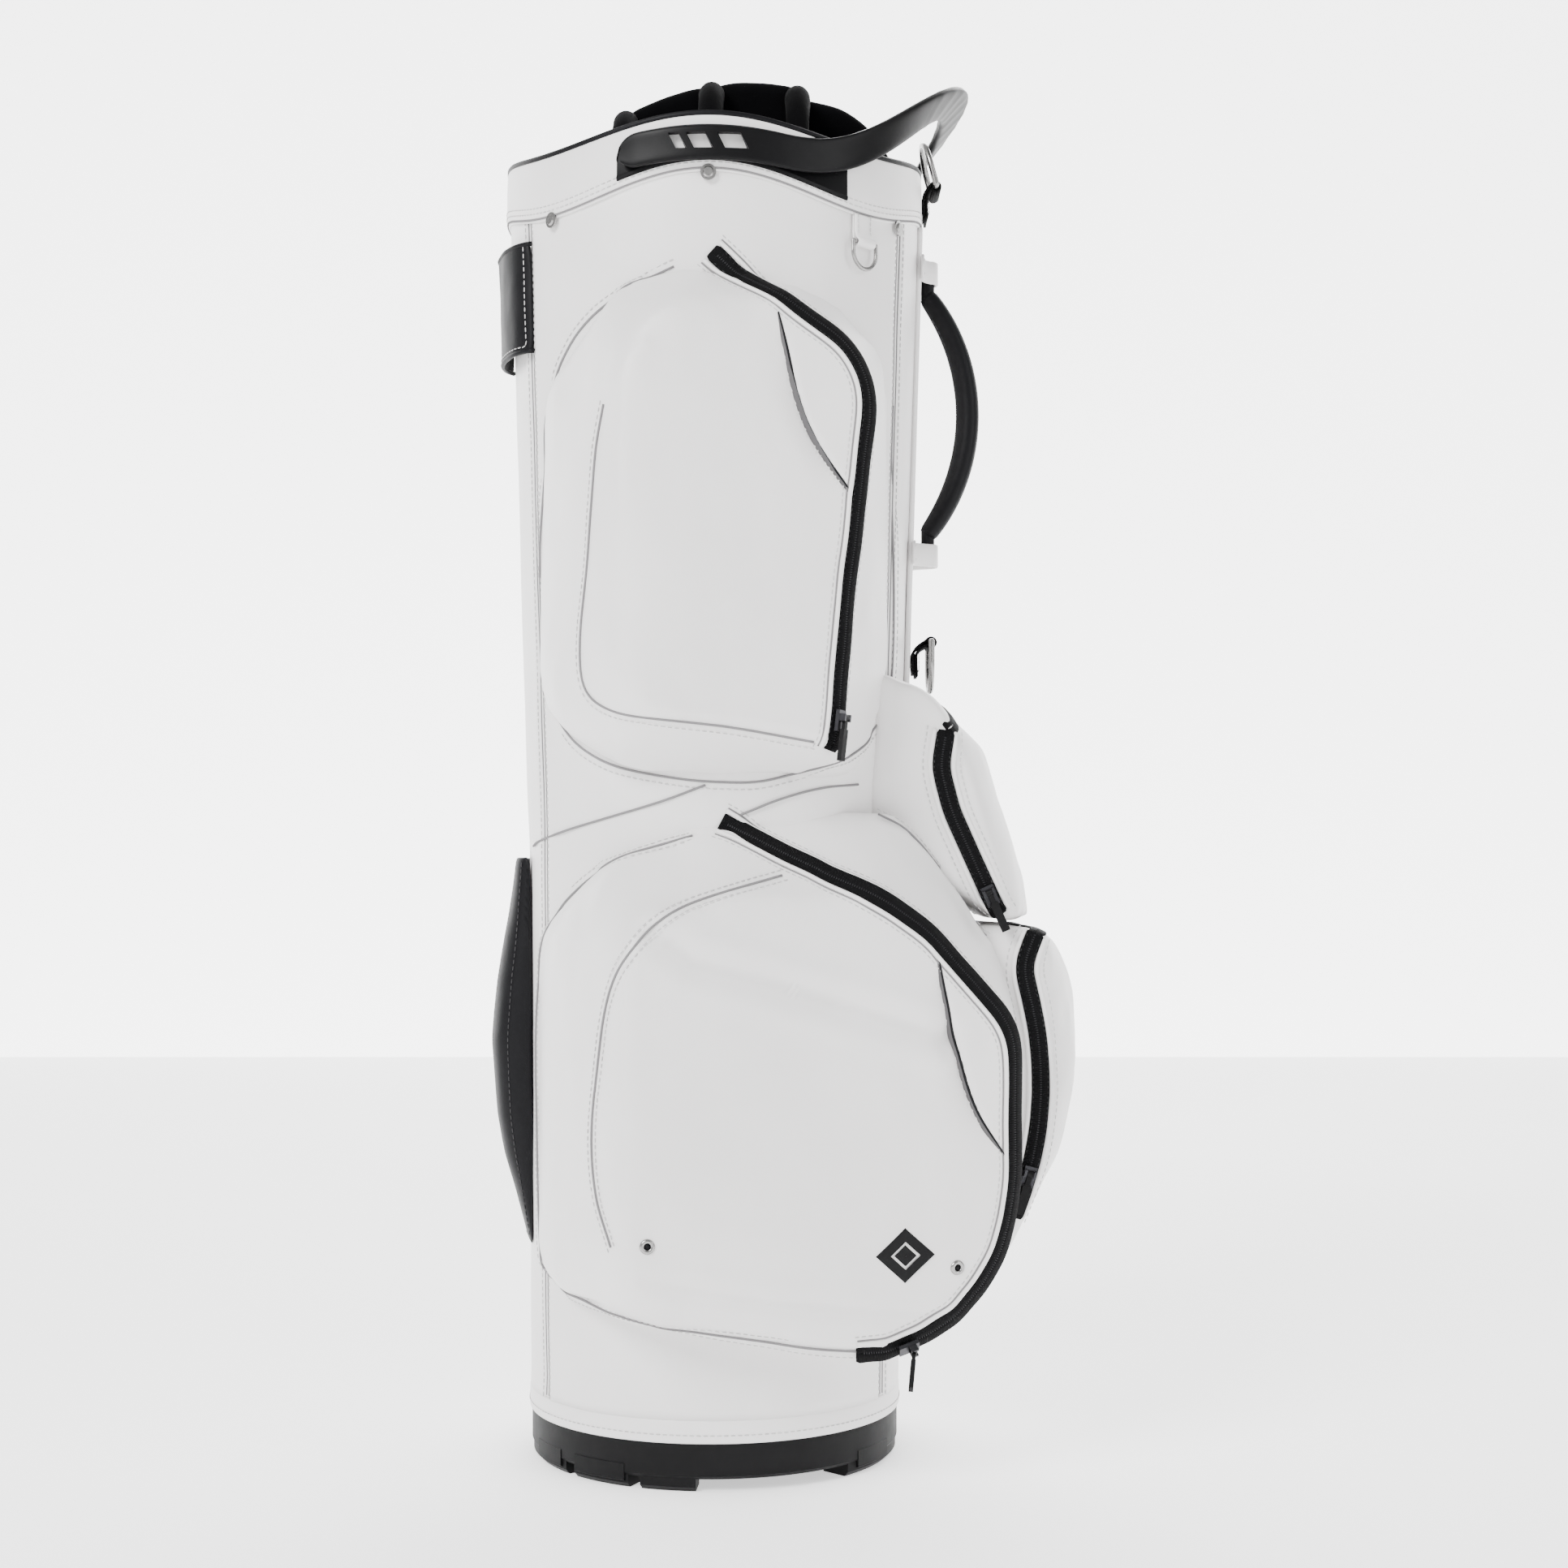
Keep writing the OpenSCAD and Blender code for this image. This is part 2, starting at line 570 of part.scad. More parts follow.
// Points round an outline between two of its corners, with the way out of the outline at each.
function outline_run(v, from, to) = let (p = rounded(v), m = corner_steps + 1)
    [for (i = [from * m : to * m + corner_steps]) p[i % len(p)]];
function outward(p, i) = let (a = p[max(i - 1, 0)], b = p[min(i + 1, len(p) - 1)], t = unit(b - a)) [t[1], -t[0]];
tape_lift = 1.0;
// The tape's middle line on the bevel, in the pocket's frame.
function zip_path(run, face) = [for (i = [0:len(run) - 1]) let (n = outward(run, i), h = bevel / 2, o = tape_lift / sqrt(2))
    [run[i][0] - n[0] * (h - o), -face + h - o, run[i][1] - n[1] * (h - o)]];
// Across the tape: from the gusset up to the face.
function zip_across(run) = [for (i = [0:len(run) - 1]) let (n = outward(run, i)) [-n[0], -1, -n[1]]];

lower_run = concat(outline_run(lower_flat, 3, 5), [vertex(lower_flat, 6)]);
upper_run = concat([[39.5, 449] + 4 * [0.11, 1]], outline_run(upper_flat, 2, 2));
lower_end = [lower_tip[0] - 4, -126, lower_tip[1] - 2];
upper_end = [upper_tip[0] - 4, -134, upper_tip[1] - 2];
// Tape along run and on to end. grow makes the slot that it lies in.
module zip(run, face, end, grow = 0) {
    path = zip_path(run, face);
    across = zip_across(run);
    last = len(run) - 1;
    strip(concat(path, [end]), concat(across, [across[last]]), tape_w + grow, tape_t + 2 * grow);
}
module lower_zip() { color(black) rotate([0, 0, pocket_turn]) zip(lower_run, lower_face, lower_end); }
module upper_zip() { color(black) rotate([0, 0, pocket_turn]) zip(upper_run, upper_face, upper_end); }

// A slider at the origin, with +X along the tape and +Z out of it, and its pull.
pin_r = 1;
pin_x = 2;
pin_z = 4.6;
module slider() {
    color("dimgray") {
        translate([-slider_l / 2, -4, 0]) cube([slider_l, 8, 2.4]);
        for (s = [-1, 1]) translate([pin_x - 2.2, s * 3 - 0.8, 2.3]) cube([4.4, 1.6, 4.2]);
        translate([pin_x, 0, pin_z]) rotate([90, 0, 0]) cylinder(r = pin_r, h = 7, center = true, $fn = 32);
    }
}
module pull(hang = 0) {
    color(black) translate([pin_x, 0, pin_z]) rotate([0, hang, 0]) translate([-pin_x, 0, -pin_z]) difference() {
        union() {
            translate([pin_x, 0, pin_z]) rotate([90, 0, 0]) cylinder(r = 2, h = 3.8, center = true, $fn = 32);
            translate([pin_x - 8, -1.6, pin_z - 1.1]) cube([8, 3.2, 2.2]);
            translate([pin_x - pull_l, -2.6, pin_z - 1.4]) cube([pull_l - 7, 5.2, 2.8]);
        }
        translate([pin_x, 0, pin_z]) rotate([90, 0, 0]) cylinder(r = pin_r + fit, h = 8, center = true, $fn = 32);
    }
}

slider_gap = tape_lift + tape_t / 2 + clear;    // height of a slider's foot over the bevel
// Sliders run on the straight edge of the upper pocket and on the round corner of the lower one.
upper_way = unit([67 - 39.5, 688 - 447]);
upper_stop = [39.5, 447] + upper_way * 22;
module on_upper_zip() {
    n = [upper_way[1], -upper_way[0]];
    h = bevel / 2 - slider_gap / sqrt(2);
    rotate([0, 0, pocket_turn]) place([upper_stop[0] - n[0] * h, -upper_face + h, upper_stop[1] - n[1] * h],
        [upper_way[0], 0, upper_way[1]], [n[0], -1, n[1]]) children();
}
lower_round_r = lower_flat[3][2];
lower_round = corner_centre(lower_flat, 3);
lower_park = -72;                       // slider's angle on the round corner at rest
module on_lower_zip() {
    n = [cos(lower_park), sin(lower_park)];
    h = bevel / 2 - slider_gap / sqrt(2);
    p = lower_round + n * (lower_round_r - h);
    rotate([0, 0, pocket_turn]) place([p[0], -lower_face + h, p[1]], [-n[1], 0, n[0]], [n[0], -1, n[1]]) children();
}
module upper_slider() { on_upper_zip() slider(); }
module upper_pull() { on_upper_zip() pull(); }
module lower_slider() { on_lower_zip() slider(); }
module lower_pull() { on_lower_zip() pull(60); }

// Eyelets on the lower pockets' faces, [x, z].
eyelets = [[-80, 160], [112, 139]];
module pocket_eyelets() {
    color(steel) for (s = [0, 1]) mirror([0, s, 0]) rotate([0, 0, pocket_turn]) for (e = eyelets)
        translate([e[0], -lower_face - 0.05, e[1]]) rotate([90, 0, 0]) difference() {
            cylinder(r = 4.6, h = 1.4, $fn = 32);
            translate([0, 0, 0.6]) cylinder(r = 2, h = 1, $fn = 32);
        }
}

// A plain diamond badge on each lower pocket's face.
emblem_at = [78, 148];
module emblem_patches() {
    color(black) for (s = [0, 1]) mirror([0, s, 0]) rotate([0, 0, pocket_turn])
        translate([emblem_at[0], -lower_face - 0.05, emblem_at[1]]) rotate([90, 0, 0]) linear_extrude(0.8) difference() {
            polygon([[-19, 0], [0, -17], [19, 0], [0, 17]]);
            polygon([[-8, 0], [0, -7], [8, 0], [0, 7]]);
        }
}

// ---------- front pockets ----------

front_half_w = 72;
// Side view of the block that both front pockets share, [x, z, corner radius].
front_edge = [[100, 84, 4], [146, 87, 30], [182, 128.5, 30], [223.5, 227.8, 223.5], [200.6, 318.5, 18], [210, 343, 2],
              [188, 346, 2], [155.5, 418, 29], [148.5, 445, 20], [152.5, 467, 3], [136, 494, 6], [100, 507, 3]];
module front_gusset() {
    color(white) difference() {
        slice(front_half_w, 2 * front_half_w) polygon(rounded(front_edge));
        slice(front_half_w - wall, 2 * (front_half_w - wall)) difference() {
            offset(delta = -wall) polygon(rounded(front_edge));
            translate([80, 341]) square([150, wall]);
        }
        core(0.15);
        slice(front_half_w - 14, 2 * (front_half_w - 14)) {
            polygon([[142, 362], [240, 362], [240, 452], [142, 452]]);
            polygon([[160, 150], [260, 150], [260, 318], [160, 318]]);
        }
    }
}
// A crowned panel over one front pocket, from its edge line and how far its middle stands out.
crown_rows = [[71, 0], [64, 0.35], [46, 0.75], [12, 1]];
module front_pillow(edge, crown, inset) {
    last = len(edge) - 1;
    hull() for (row = crown_rows) slice(row[0] - inset, 2 * (row[0] - inset)) polygon([for (i = [0:last])
        i == 0 || i == last ? edge[i] : [edge[i][0] + 3 + row[1] * crown[i] - inset, edge[i][1]]]);
}
module front_panel(edge, crown) {
    color(white) difference() {
        front_pillow(edge, crown, 0);
        front_pillow(edge, crown, wall);
        slice(front_half_w + 1, 2 * front_half_w + 2) polygon(rounded(front_edge));
    }
}
upper_edge = [[160, 350], [188, 350], [174, 377], [159, 410], [150, 440], [152, 458], [144, 466]];
upper_crown = [0, 16, 24, 28, 30, 22, 0];
lower_edge = [[170, 146], [189, 153], [206, 200], [211, 240], [209, 270], [202, 302], [206, 332], [190, 342]];
lower_crown = [0, 8, 17, 23, 26, 31, 14, 0];
module front_upper_panel() { front_panel(upper_edge, upper_crown); }
module front_lower_panel() { front_panel(lower_edge, lower_crown); }

// A band of tape on both sides of the block along run, joined over the top of the pocket.
module front_zip(run, top) {
    n = len(run);
    inner = [for (i = [n - 1:-1:0]) run[i] - tape_w * outward(run, i)];
    across = unit(top - run[n - 1]);
    out = [across[1], -across[0]];
    side = front_half_w + tape_t;
    color(black) {
        for (s = [0, 1]) mirror([0, s, 0]) slice(side, tape_t)
            polygon(concat(run, [run[n - 1] + across * tape_w], inner));
        slice(side, 2 * side) polygon([run[n - 1], run[n - 1] + out * tape_t, run[n - 1] + out * tape_t + across * tape_w,
                                       run[n - 1] + across * tape_w]);
    }
}
// Vertices of front_edge where the lower zip's arc is, and where the upper zip's straight stretch starts.
arc_at = 3;
straight_at = 6;
front_upper_way = unit(vertex(front_edge, straight_at + 1) - vertex(front_edge, straight_at));
front_upper_run = concat([vertex(front_edge, straight_at) + 5 * front_upper_way],
    outline_run(front_edge, straight_at + 1, straight_at + 2), [vertex(front_edge, straight_at + 3)]);
front_lower_run = concat(outline_run(front_edge, arc_at, arc_at + 1), [vertex(front_edge, arc_at + 2)]);
module front_upper_zip() { front_zip(front_upper_run, vertex(front_edge, straight_at + 4)); }
module front_lower_zip() { front_zip(front_lower_run, vertex(front_edge, straight_at)); }

front_slider_y = -front_half_w - tape_t - clear;
front_upper_stop = vertex(front_edge, straight_at) + 21 * front_upper_way
    - [front_upper_way[1], -front_upper_way[0]] * tape_w / 2;
front_round = corner_centre(front_edge, arc_at);
front_round_r = front_edge[arc_at][2] - tape_w / 2;
front_lower_park = -15.5;               // slider's angle on the arc at rest
module on_front_upper_zip() {
    place([front_upper_stop[0], front_slider_y, front_upper_stop[1]],
        [front_upper_way[0], 0, front_upper_way[1]], [0, -1, 0]) children();
}
module on_front_lower_zip() {
    n = [cos(front_lower_park), sin(front_lower_park)];
    p = front_round + front_round_r * n;
    place([p[0], front_slider_y, p[1]], [-n[1], 0, n[0]], [0, -1, 0]) children();
}
module front_upper_slider() { on_front_upper_zip() slider(); }
module front_upper_pull() { on_front_upper_zip() pull(); }
module front_lower_slider() { on_front_lower_zip() slider(); }
module front_lower_pull() { on_front_lower_zip() pull(); }

base_cup();
base_plate();
base_screws();
inner_tube();
stay_rods();
bottom_cuff();
back_panel();
side_panel();  // side_panel_near
far() side_panel();  // side_panel_far
spine_panel();
panel_piping();
collar_ring();
collar_band();
collar_piping();
hood_snaps();
lift_handle();
handle_plates();
handle_screws();
divider_pads();
divider_sheets();
umbrella_sleeve();
umbrella_pocket();
towel_tab();
towel_ring();
strap_loops();
strap_ring_upper();
strap_ring_lower();
handle_anchors();
grab_handle();
upper_gusset();  // upper_gusset_near
upper_panel();  // upper_panel_near
upper_zip();  // upper_zip_near
upper_slider();  // upper_slider_near
upper_pull();  // upper_pull_near
far() upper_gusset();  // upper_gusset_far
far() upper_panel();  // upper_panel_far
far() upper_zip();  // upper_zip_far
far() upper_slider();  // upper_slider_far
far() upper_pull();  // upper_pull_far
lower_gusset();  // lower_gusset_near
lower_panel();  // lower_panel_near
lower_zip();  // lower_zip_near
lower_slider();  // lower_slider_near
lower_pull();  // lower_pull_near
far() lower_gusset();  // lower_gusset_far
far() lower_panel();  // lower_panel_far
far() lower_zip();  // lower_zip_far
far() lower_slider();  // lower_slider_far
far() lower_pull();  // lower_pull_far
pocket_eyelets();
emblem_patches();
front_gusset();
front_upper_panel();
front_lower_panel();
front_upper_zip();
front_upper_slider();
front_upper_pull();
front_lower_zip();
front_lower_slider();
front_lower_pull();
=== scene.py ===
"""Golf cart bag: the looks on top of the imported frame. Blender works in metres; sizes below are in millimetres."""
import math

import bmesh
import bpy
from mathutils import Matrix, Vector, noise
from mathutils.bvhtree import BVHTree


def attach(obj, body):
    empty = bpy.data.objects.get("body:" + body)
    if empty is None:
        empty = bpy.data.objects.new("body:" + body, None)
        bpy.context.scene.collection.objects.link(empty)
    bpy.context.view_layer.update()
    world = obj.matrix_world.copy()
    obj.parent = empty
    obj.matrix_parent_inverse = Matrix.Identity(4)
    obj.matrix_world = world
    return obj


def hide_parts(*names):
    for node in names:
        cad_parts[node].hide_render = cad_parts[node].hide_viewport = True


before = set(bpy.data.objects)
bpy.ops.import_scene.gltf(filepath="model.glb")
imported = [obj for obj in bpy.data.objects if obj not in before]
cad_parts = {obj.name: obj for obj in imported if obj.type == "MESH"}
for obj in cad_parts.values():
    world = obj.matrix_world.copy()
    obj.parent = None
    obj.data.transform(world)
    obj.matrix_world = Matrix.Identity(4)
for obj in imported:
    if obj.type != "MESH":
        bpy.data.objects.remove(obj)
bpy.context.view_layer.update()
MM = 0.001
UP = Vector((0, 0, 1))
OUT = Vector((1, 0, 0))
Y_AXIS = Vector((0, 1, 0))
SIDES = (-1, 1)

# Sizes of the CAD model, in its own units.
BASE_R, BASE_H = 120, 30
WAIST_R, WAIST_Z = 122, 400
SHOULDER_R, SHOULDER_Z = 134, 804
SKIN_LOW = 44
RIM_Z, RIM_DIP = 835, 12
SEAM_Z, SEAM_DIP = 802, 17
BAND_R = SHOULDER_R + 1.8
SEAM_ANGLES = (27, 150, 210, 333)
POCKET_TURN = math.radians(15)
LOWER_FACE, UPPER_FACE = 164, 156
BEVEL = 7
TAPE_W = 9
FRONT_HALF_W = 72


# ---------- camera and light ----------

def linked(name, data):
    """A new object in the scene."""
    thing = bpy.data.objects.new(name, data)
    bpy.context.scene.collection.objects.link(thing)
    return thing


def add_camera():
    data = bpy.data.cameras.new("camera")
    data.sensor_width = 36
    data.lens = 52.4534
    data.shift_y = 0.0574534
    camera = linked("camera", data)
    camera.location = (0.0456, -1.511, 0.377)
    camera.rotation_euler = (math.radians(90), 0, 0)
    bpy.context.scene.camera = camera


def add_light(name, place, aim, size, power):
    data = bpy.data.lights.new(name, "AREA")
    data.shape = "RECTANGLE"
    data.size, data.size_y = size
    data.energy = power
    lamp = linked(name, data)
    lamp.location = place
    lamp.rotation_euler = (Vector(aim) - Vector(place)).to_track_quat("-Z", "Y").to_euler()


def add_plane(name, corners, material):
    mesh = bpy.data.meshes.new(name)
    mesh.from_pydata(corners, [], [(0, 1, 2, 3)])
    mesh.materials.append(material)
    plane = linked(name, mesh)


def add_stage():
    add_plane("floor", [(-6, -6, 0), (6, -6, 0), (6, 6, 0), (-6, 6, 0)], floor_material())
    add_plane("backdrop", [(-6, 3.2, -0.5), (6, 3.2, -0.5), (6, 3.2, 5), (-6, 3.2, 5)], backdrop_material())
    world = bpy.data.worlds.new("studio")
    world.use_nodes = True
    background = world.node_tree.nodes["Background"]
    background.inputs["Color"].default_value = (1, 1, 1, 1)
    background.inputs["Strength"].default_value = 0.65
    bpy.context.scene.world = world
    add_light("key", (-1.6, -2.2, 2.3), (0, 0, 0.5), (1.3, 1.3), 140)
    add_light("fill", (2.2, -1.6, 1.3), (0, 0, 0.45), (0.8, 1.6), 26)
    add_light("rim", (0.6, 2.0, 2.2), (0, 0, 0.6), (1.8, 1.0), 50)


# ---------- materials ----------

MIX_A, MIX_B, MIX_RESULT = 6, 7, 2     # a colour mix's sockets


class Shader:
    """A node material with one Principled shader, and short calls to add to it."""

    def __init__(self, name, colour, roughness, **sockets):
        self.material = bpy.data.materials.new(name)
        self.material.use_nodes = True
        self.nodes = self.material.node_tree.nodes
        self.links = self.material.node_tree.links
        self.bsdf = self.nodes["Principled BSDF"]
        self.colour = colour
        self.bsdf.inputs["Base Color"].default_value = (*colour, 1)
        self.bsdf.inputs["Roughness"].default_value = roughness
        for socket, value in sockets.items():
            self.bsdf.inputs[socket.replace("_", " ")].default_value = value
        self.where = self.nodes.new("ShaderNodeTexCoord")
        self.height = None
        self.shade = None

    def add(self, kind, **inputs):
        node = self.nodes.new(kind)
        for key, value in inputs.items():
            node.inputs[key.replace("_", " ")].default_value = value
        return node

    def link(self, a, b):
        self.links.new(a, b)

    def noise(self, size, detail=4, roughness=0.5, space="Object"):
        node = self.add("ShaderNodeTexNoise", Scale=1000 / size, Detail=detail, Roughness=roughness)
        self.link(self.where.outputs[space], node.inputs["Vector"])
        return node.outputs["Fac"]

    def cells(self, size):
        node = self.add("ShaderNodeTexVoronoi", Scale=1000 / size)
        node.feature = "DISTANCE_TO_EDGE"
        self.link(self.where.outputs["Object"], node.inputs["Vector"])
        return node.outputs["Distance"]

    def ribs(self, pitch, direction="X"):
        """Ribs across a swept piece, whose UV map is in metres."""
        node = self.add("ShaderNodeTexWave", Scale=math.pi / 10 / (pitch * MM))
        node.bands_direction = direction
        self.link(self.where.outputs["UV"], node.inputs["Vector"])
        return node.outputs["Fac"]

    def vary(self, value, dark, stops=(0.35, 0.65)):
        """Darkens the colour to a share of itself where value is low."""
        ramp = self.nodes.new("ShaderNodeValToRGB")
        self.link(value, ramp.inputs["Fac"])
        for mark, place, level in zip(ramp.color_ramp.elements, stops, (dark, 1)):
            mark.position = place
            mark.color = (level, level, level, 1)
        mix = self.nodes.new("ShaderNodeMix")
        mix.data_type = "RGBA"
        mix.blend_type = "MULTIPLY"
        mix.inputs[0].default_value = 1
        if self.shade:
            self.link(self.shade, mix.inputs[MIX_A])
        else:
            mix.inputs[MIX_A].default_value = (*self.colour, 1)
        self.link(ramp.outputs["Color"], mix.inputs[MIX_B])
        self.shade = mix.outputs[MIX_RESULT]
        self.link(self.shade, self.bsdf.inputs["Base Color"])
        return self

    def rough(self, value, low, high):
        node = self.add("ShaderNodeMapRange", To_Min=low, To_Max=high)
        self.link(value, node.inputs["Value"])
        self.link(node.outputs["Result"], self.bsdf.inputs["Roughness"])
        return self

    def bump(self, value, depth, strength=0.5):
        node = self.add("ShaderNodeBump", Strength=strength, Distance=depth * MM)
        self.link(value, node.inputs["Height"])
        if self.height:
            self.link(self.height, node.inputs["Normal"])
        self.height = node.outputs["Normal"]
        self.link(self.height, self.bsdf.inputs["Normal"])
        return self

    def painted_crease_shade(self, dark=0.82):
        """Painted shade in creases, from how sharply the surface bends."""
        node = self.nodes.new("ShaderNodeNewGeometry")
        return self.vary(node.outputs["Pointiness"], dark, (0.44, 0.495))


def leather_material(name, colour, roughness, crease=0.82, shine=0.5):
    shader = Shader(name, colour, roughness, Specular_IOR_Level=shine)
    shader.vary(shader.noise(90, 3), 0.965)
    # painted shade: creases darken to crease times the colour
    shader.painted_crease_shade(crease)
    shader.rough(shader.noise(25, 5), roughness - 0.05, roughness + 0.08)
    shader.bump(shader.noise(38, 3), 1.1, 0.35)
    shader.bump(shader.noise(6, 4), 0.25, 0.35)
    return shader.bump(shader.cells(1.3), 0.16, 0.45).material


def plastic_material(name, colour, roughness, grain=0.9):
    shader = Shader(name, colour, roughness, Specular_IOR_Level=0.13)
    shader.vary(shader.noise(60, 3), 0.8)
    shader.rough(shader.noise(14, 5), roughness - 0.06, roughness + 0.1)
    return shader.bump(shader.noise(grain, 3), 0.06, 0.5).material


def metal_material(name, colour, roughness):
    shader = Shader(name, colour, roughness, Metallic=1)
    shader.vary(shader.noise(8, 3), 0.86)
    shader.rough(shader.noise(3, 4), roughness - 0.05, roughness + 0.12)
    return shader.bump(shader.noise(1.2, 3), 0.03, 0.4).material


def velour_material():
    shader = Shader("velour", (0.0022, 0.0022, 0.0026), 0.95, Specular_IOR_Level=0.03, Sheen_Weight=0.03,
                    Sheen_Roughness=0.4)
    shader.vary(shader.noise(30, 4), 0.55)
    shader.bump(shader.noise(12, 4), 0.8, 0.4)
    return shader.bump(shader.noise(0.8, 2), 0.25, 0.6).material


def woven_material(name, colour, pitch, roughness=0.75):
    shader = Shader(name, colour, roughness, Specular_IOR_Level=0.08)
    shader.vary(shader.noise(12, 4), 0.75)
    shader.bump(shader.ribs(pitch, "X"), 0.35, 0.8)
    return shader.bump(shader.ribs(pitch * 0.8, "Y"), 0.2, 0.6).material


def cloth_material():
    shader = Shader("divider_cloth", (0.03, 0.03, 0.033), 0.85)
    shader.vary(shader.noise(40, 3), 0.7)
    return shader.bump(shader.noise(1.5, 2), 0.2, 0.6).material


def backdrop_material():
    material = bpy.data.materials.new("backdrop")
    material.use_nodes = True
    shader = material.node_tree.nodes["Principled BSDF"]
    shader.inputs["Base Color"].default_value = (0.9, 0.9, 0.9, 1)
    shader.inputs["Emission Color"].default_value = (1, 1, 1, 1)
    shader.inputs["Emission Strength"].default_value = 3.5
    return material


def floor_material():
    shader = Shader("floor", (0.95, 0.95, 0.95), 0.75, Emission_Strength=0.9)
    shader.vary(shader.noise(300, 2), 0.985)
    return shader.material


MATERIALS = {
    "white": leather_material("white_leather", (0.83, 0.815, 0.81), 0.42, 0.7),
    "black": leather_material("black_leather", (0.004, 0.004, 0.005), 0.45, 0.8, shine=0.13),
    "rubber": plastic_material("base_rubber", (0.004, 0.004, 0.0045), 0.5, 1.6),
    "plastic": plastic_material("handle_plastic", (0.0035, 0.0035, 0.004), 0.4),
    "tab": plastic_material("pull_rubber", (0.006, 0.006, 0.0065), 0.5),
    "tube": plastic_material("tube_plastic", (0.1, 0.1, 0.1), 0.6),
    "nickel": metal_material("nickel", (0.36, 0.355, 0.35), 0.24),
    "rod": metal_material("rod", (0.5, 0.5, 0.52), 0.35),
    "lacquer": metal_material("slider_lacquer", (0.05, 0.05, 0.055), 0.3),
    "velour": velour_material(),
    "webbing": woven_material("webbing", (0.004, 0.004, 0.0045), 1.6),
    "tape": woven_material("zip_tape", (0.0035, 0.0035, 0.004), 0.9, 0.6),
    "coil": plastic_material("zip_coil", (0.02, 0.02, 0.022), 0.35),
    "thread": woven_material("thread", (0.62, 0.61, 0.61), 0.5, 0.6),
    "dark_thread": woven_material("dark_thread", (0.06, 0.06, 0.062), 0.5, 0.6),
    "cloth": cloth_material(),
    # seam_shadow: a grey of painted shadow, laid in seams and beside the zips
    "shadow": leather_material("seam_shadow", (0.2, 0.195, 0.2), 0.8, 0.8, shine=0.1),
    # pocket_mouth_shadow: a darker grey of painted shadow, for the inside of a slip pocket's gaping mouth
    "slit_shadow": leather_material("pocket_mouth_shadow", (0.1, 0.097, 0.1), 0.8, 0.8, shine=0.1),
}

CAD_LOOKS = {
    "base_cup": "rubber", "base_plate": "tube", "inner_tube": "tube", "stay_rods": "rod",
    "base_screws": "nickel", "handle_screws": "nickel", "hood_snaps": "nickel", "towel_ring": "nickel",
    "strap_ring_upper": "nickel", "strap_ring_lower": "nickel", "collar_ring": "plastic",
    "divider_sheets": "cloth",
}


def give_look(thing, looks):
    thing.data.materials.clear()
    thing.data.materials.append(MATERIALS[looks])


for node, looks in CAD_LOOKS.items():
    give_look(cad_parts[node], looks)
for node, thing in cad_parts.items():
    for part, looks in (("_slider", "lacquer"), ("_pull", "tab")):
        if part in node:
            give_look(thing, looks)


# ---------- mesh helpers ----------

near_pieces = []        # (piece, look, body, replaced nodes) of each piece to mirror to the far side


def add_piece(name, mesh, looks, body="bag", replaces=(), mirror=False):
    """Links a mesh made in metres, gives it its material and body, and notes it for the far side."""
    thing = linked(name, mesh)
    give_look(thing, looks)
    mesh.polygons.foreach_set("use_smooth", [True] * len(mesh.polygons))
    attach(thing, body)
    if replaces:
        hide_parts(*replaces)
    if mirror:
        near_pieces.append((thing, looks, body, replaces))
    return thing


def baked(bm, name):
    """A new mesh from a bmesh, which goes."""
    mesh = bpy.data.meshes.new(name)
    bm.to_mesh(mesh)
    bm.free()
    return mesh


def mesh_of(bm, name):
    """A mesh in metres from a bmesh in millimetres, its normals pointing out."""
    bmesh.ops.recalc_face_normals(bm, faces=bm.faces)
    bmesh.ops.scale(bm, vec=(MM, MM, MM), verts=bm.verts)
    return baked(bm, name)


def far_copy(thing, looks, body, replaces):
    """The same piece mirrored to the far side."""
    bm = bmesh.new()
    bm.from_mesh(thing.data)
    bmesh.ops.scale(bm, vec=(1, -1, 1), verts=bm.verts)
    bmesh.ops.reverse_faces(bm, faces=bm.faces)
    name = thing.name + "_far"
    return add_piece(name, baked(bm, name), looks, body.replace("near", "far"),
                     [node.replace("near", "far") for node in replaces])


def smooth_path(points, step=3.0):
    """Evenly spaced points on a smooth curve through points."""
    points = [Vector(p) for p in points]
    dense = []
    for i in range(len(points) - 1):
        b, c = points[i], points[i + 1]
        a = points[i - 1] if i else b * 2 - c
        d = points[i + 2] if i + 2 < len(points) else c * 2 - b
        for k in range(12):
            t = k / 12
            dense.append(0.5 * (2 * b + (c - a) * t + (2 * a - 5 * b + 4 * c - d) * t ** 2
                                + (3 * b - a - 3 * c + d) * t ** 3))
    return even(dense + [points[-1]], step)


def even(path, step):
    """The same line with points step apart."""
    total = sum((b - a).length for a, b in zip(path, path[1:]))
    count = max(2, round(total / step))
    gap = total / count
    out, walked, target = [path[0].copy()], 0.0, gap
    for a, b in zip(path, path[1:]):
        length = (b - a).length
        while length > 0 and walked + length >= target - 1e-9 and len(out) < count:
            out.append(a.lerp(b, (target - walked) / length))
            target += gap
        walked += length
    out.append(path[-1].copy())
    return out


def eased(values):
    """A run of vectors, each but the ends averaged with its neighbours."""
    return values[:1] + [(a + b * 2 + c) / 4 for a, b, c in zip(values, values[1:], values[2:])] + values[-1:]


def radial(path):
    """The level way out from the bag's axis at each point of a path."""
    return [Vector((p.x, p.y, 0)).normalized() for p in path]


def normals_about(path, axis):
    """The way out at each point of a path that bends about an axis."""
    out = []
    for i in range(len(path)):
        tangent = (path[min(i + 1, len(path) - 1)] - path[max(i - 1, 0)]).normalized()
        out.append(tangent.cross(axis).normalized())
    return out


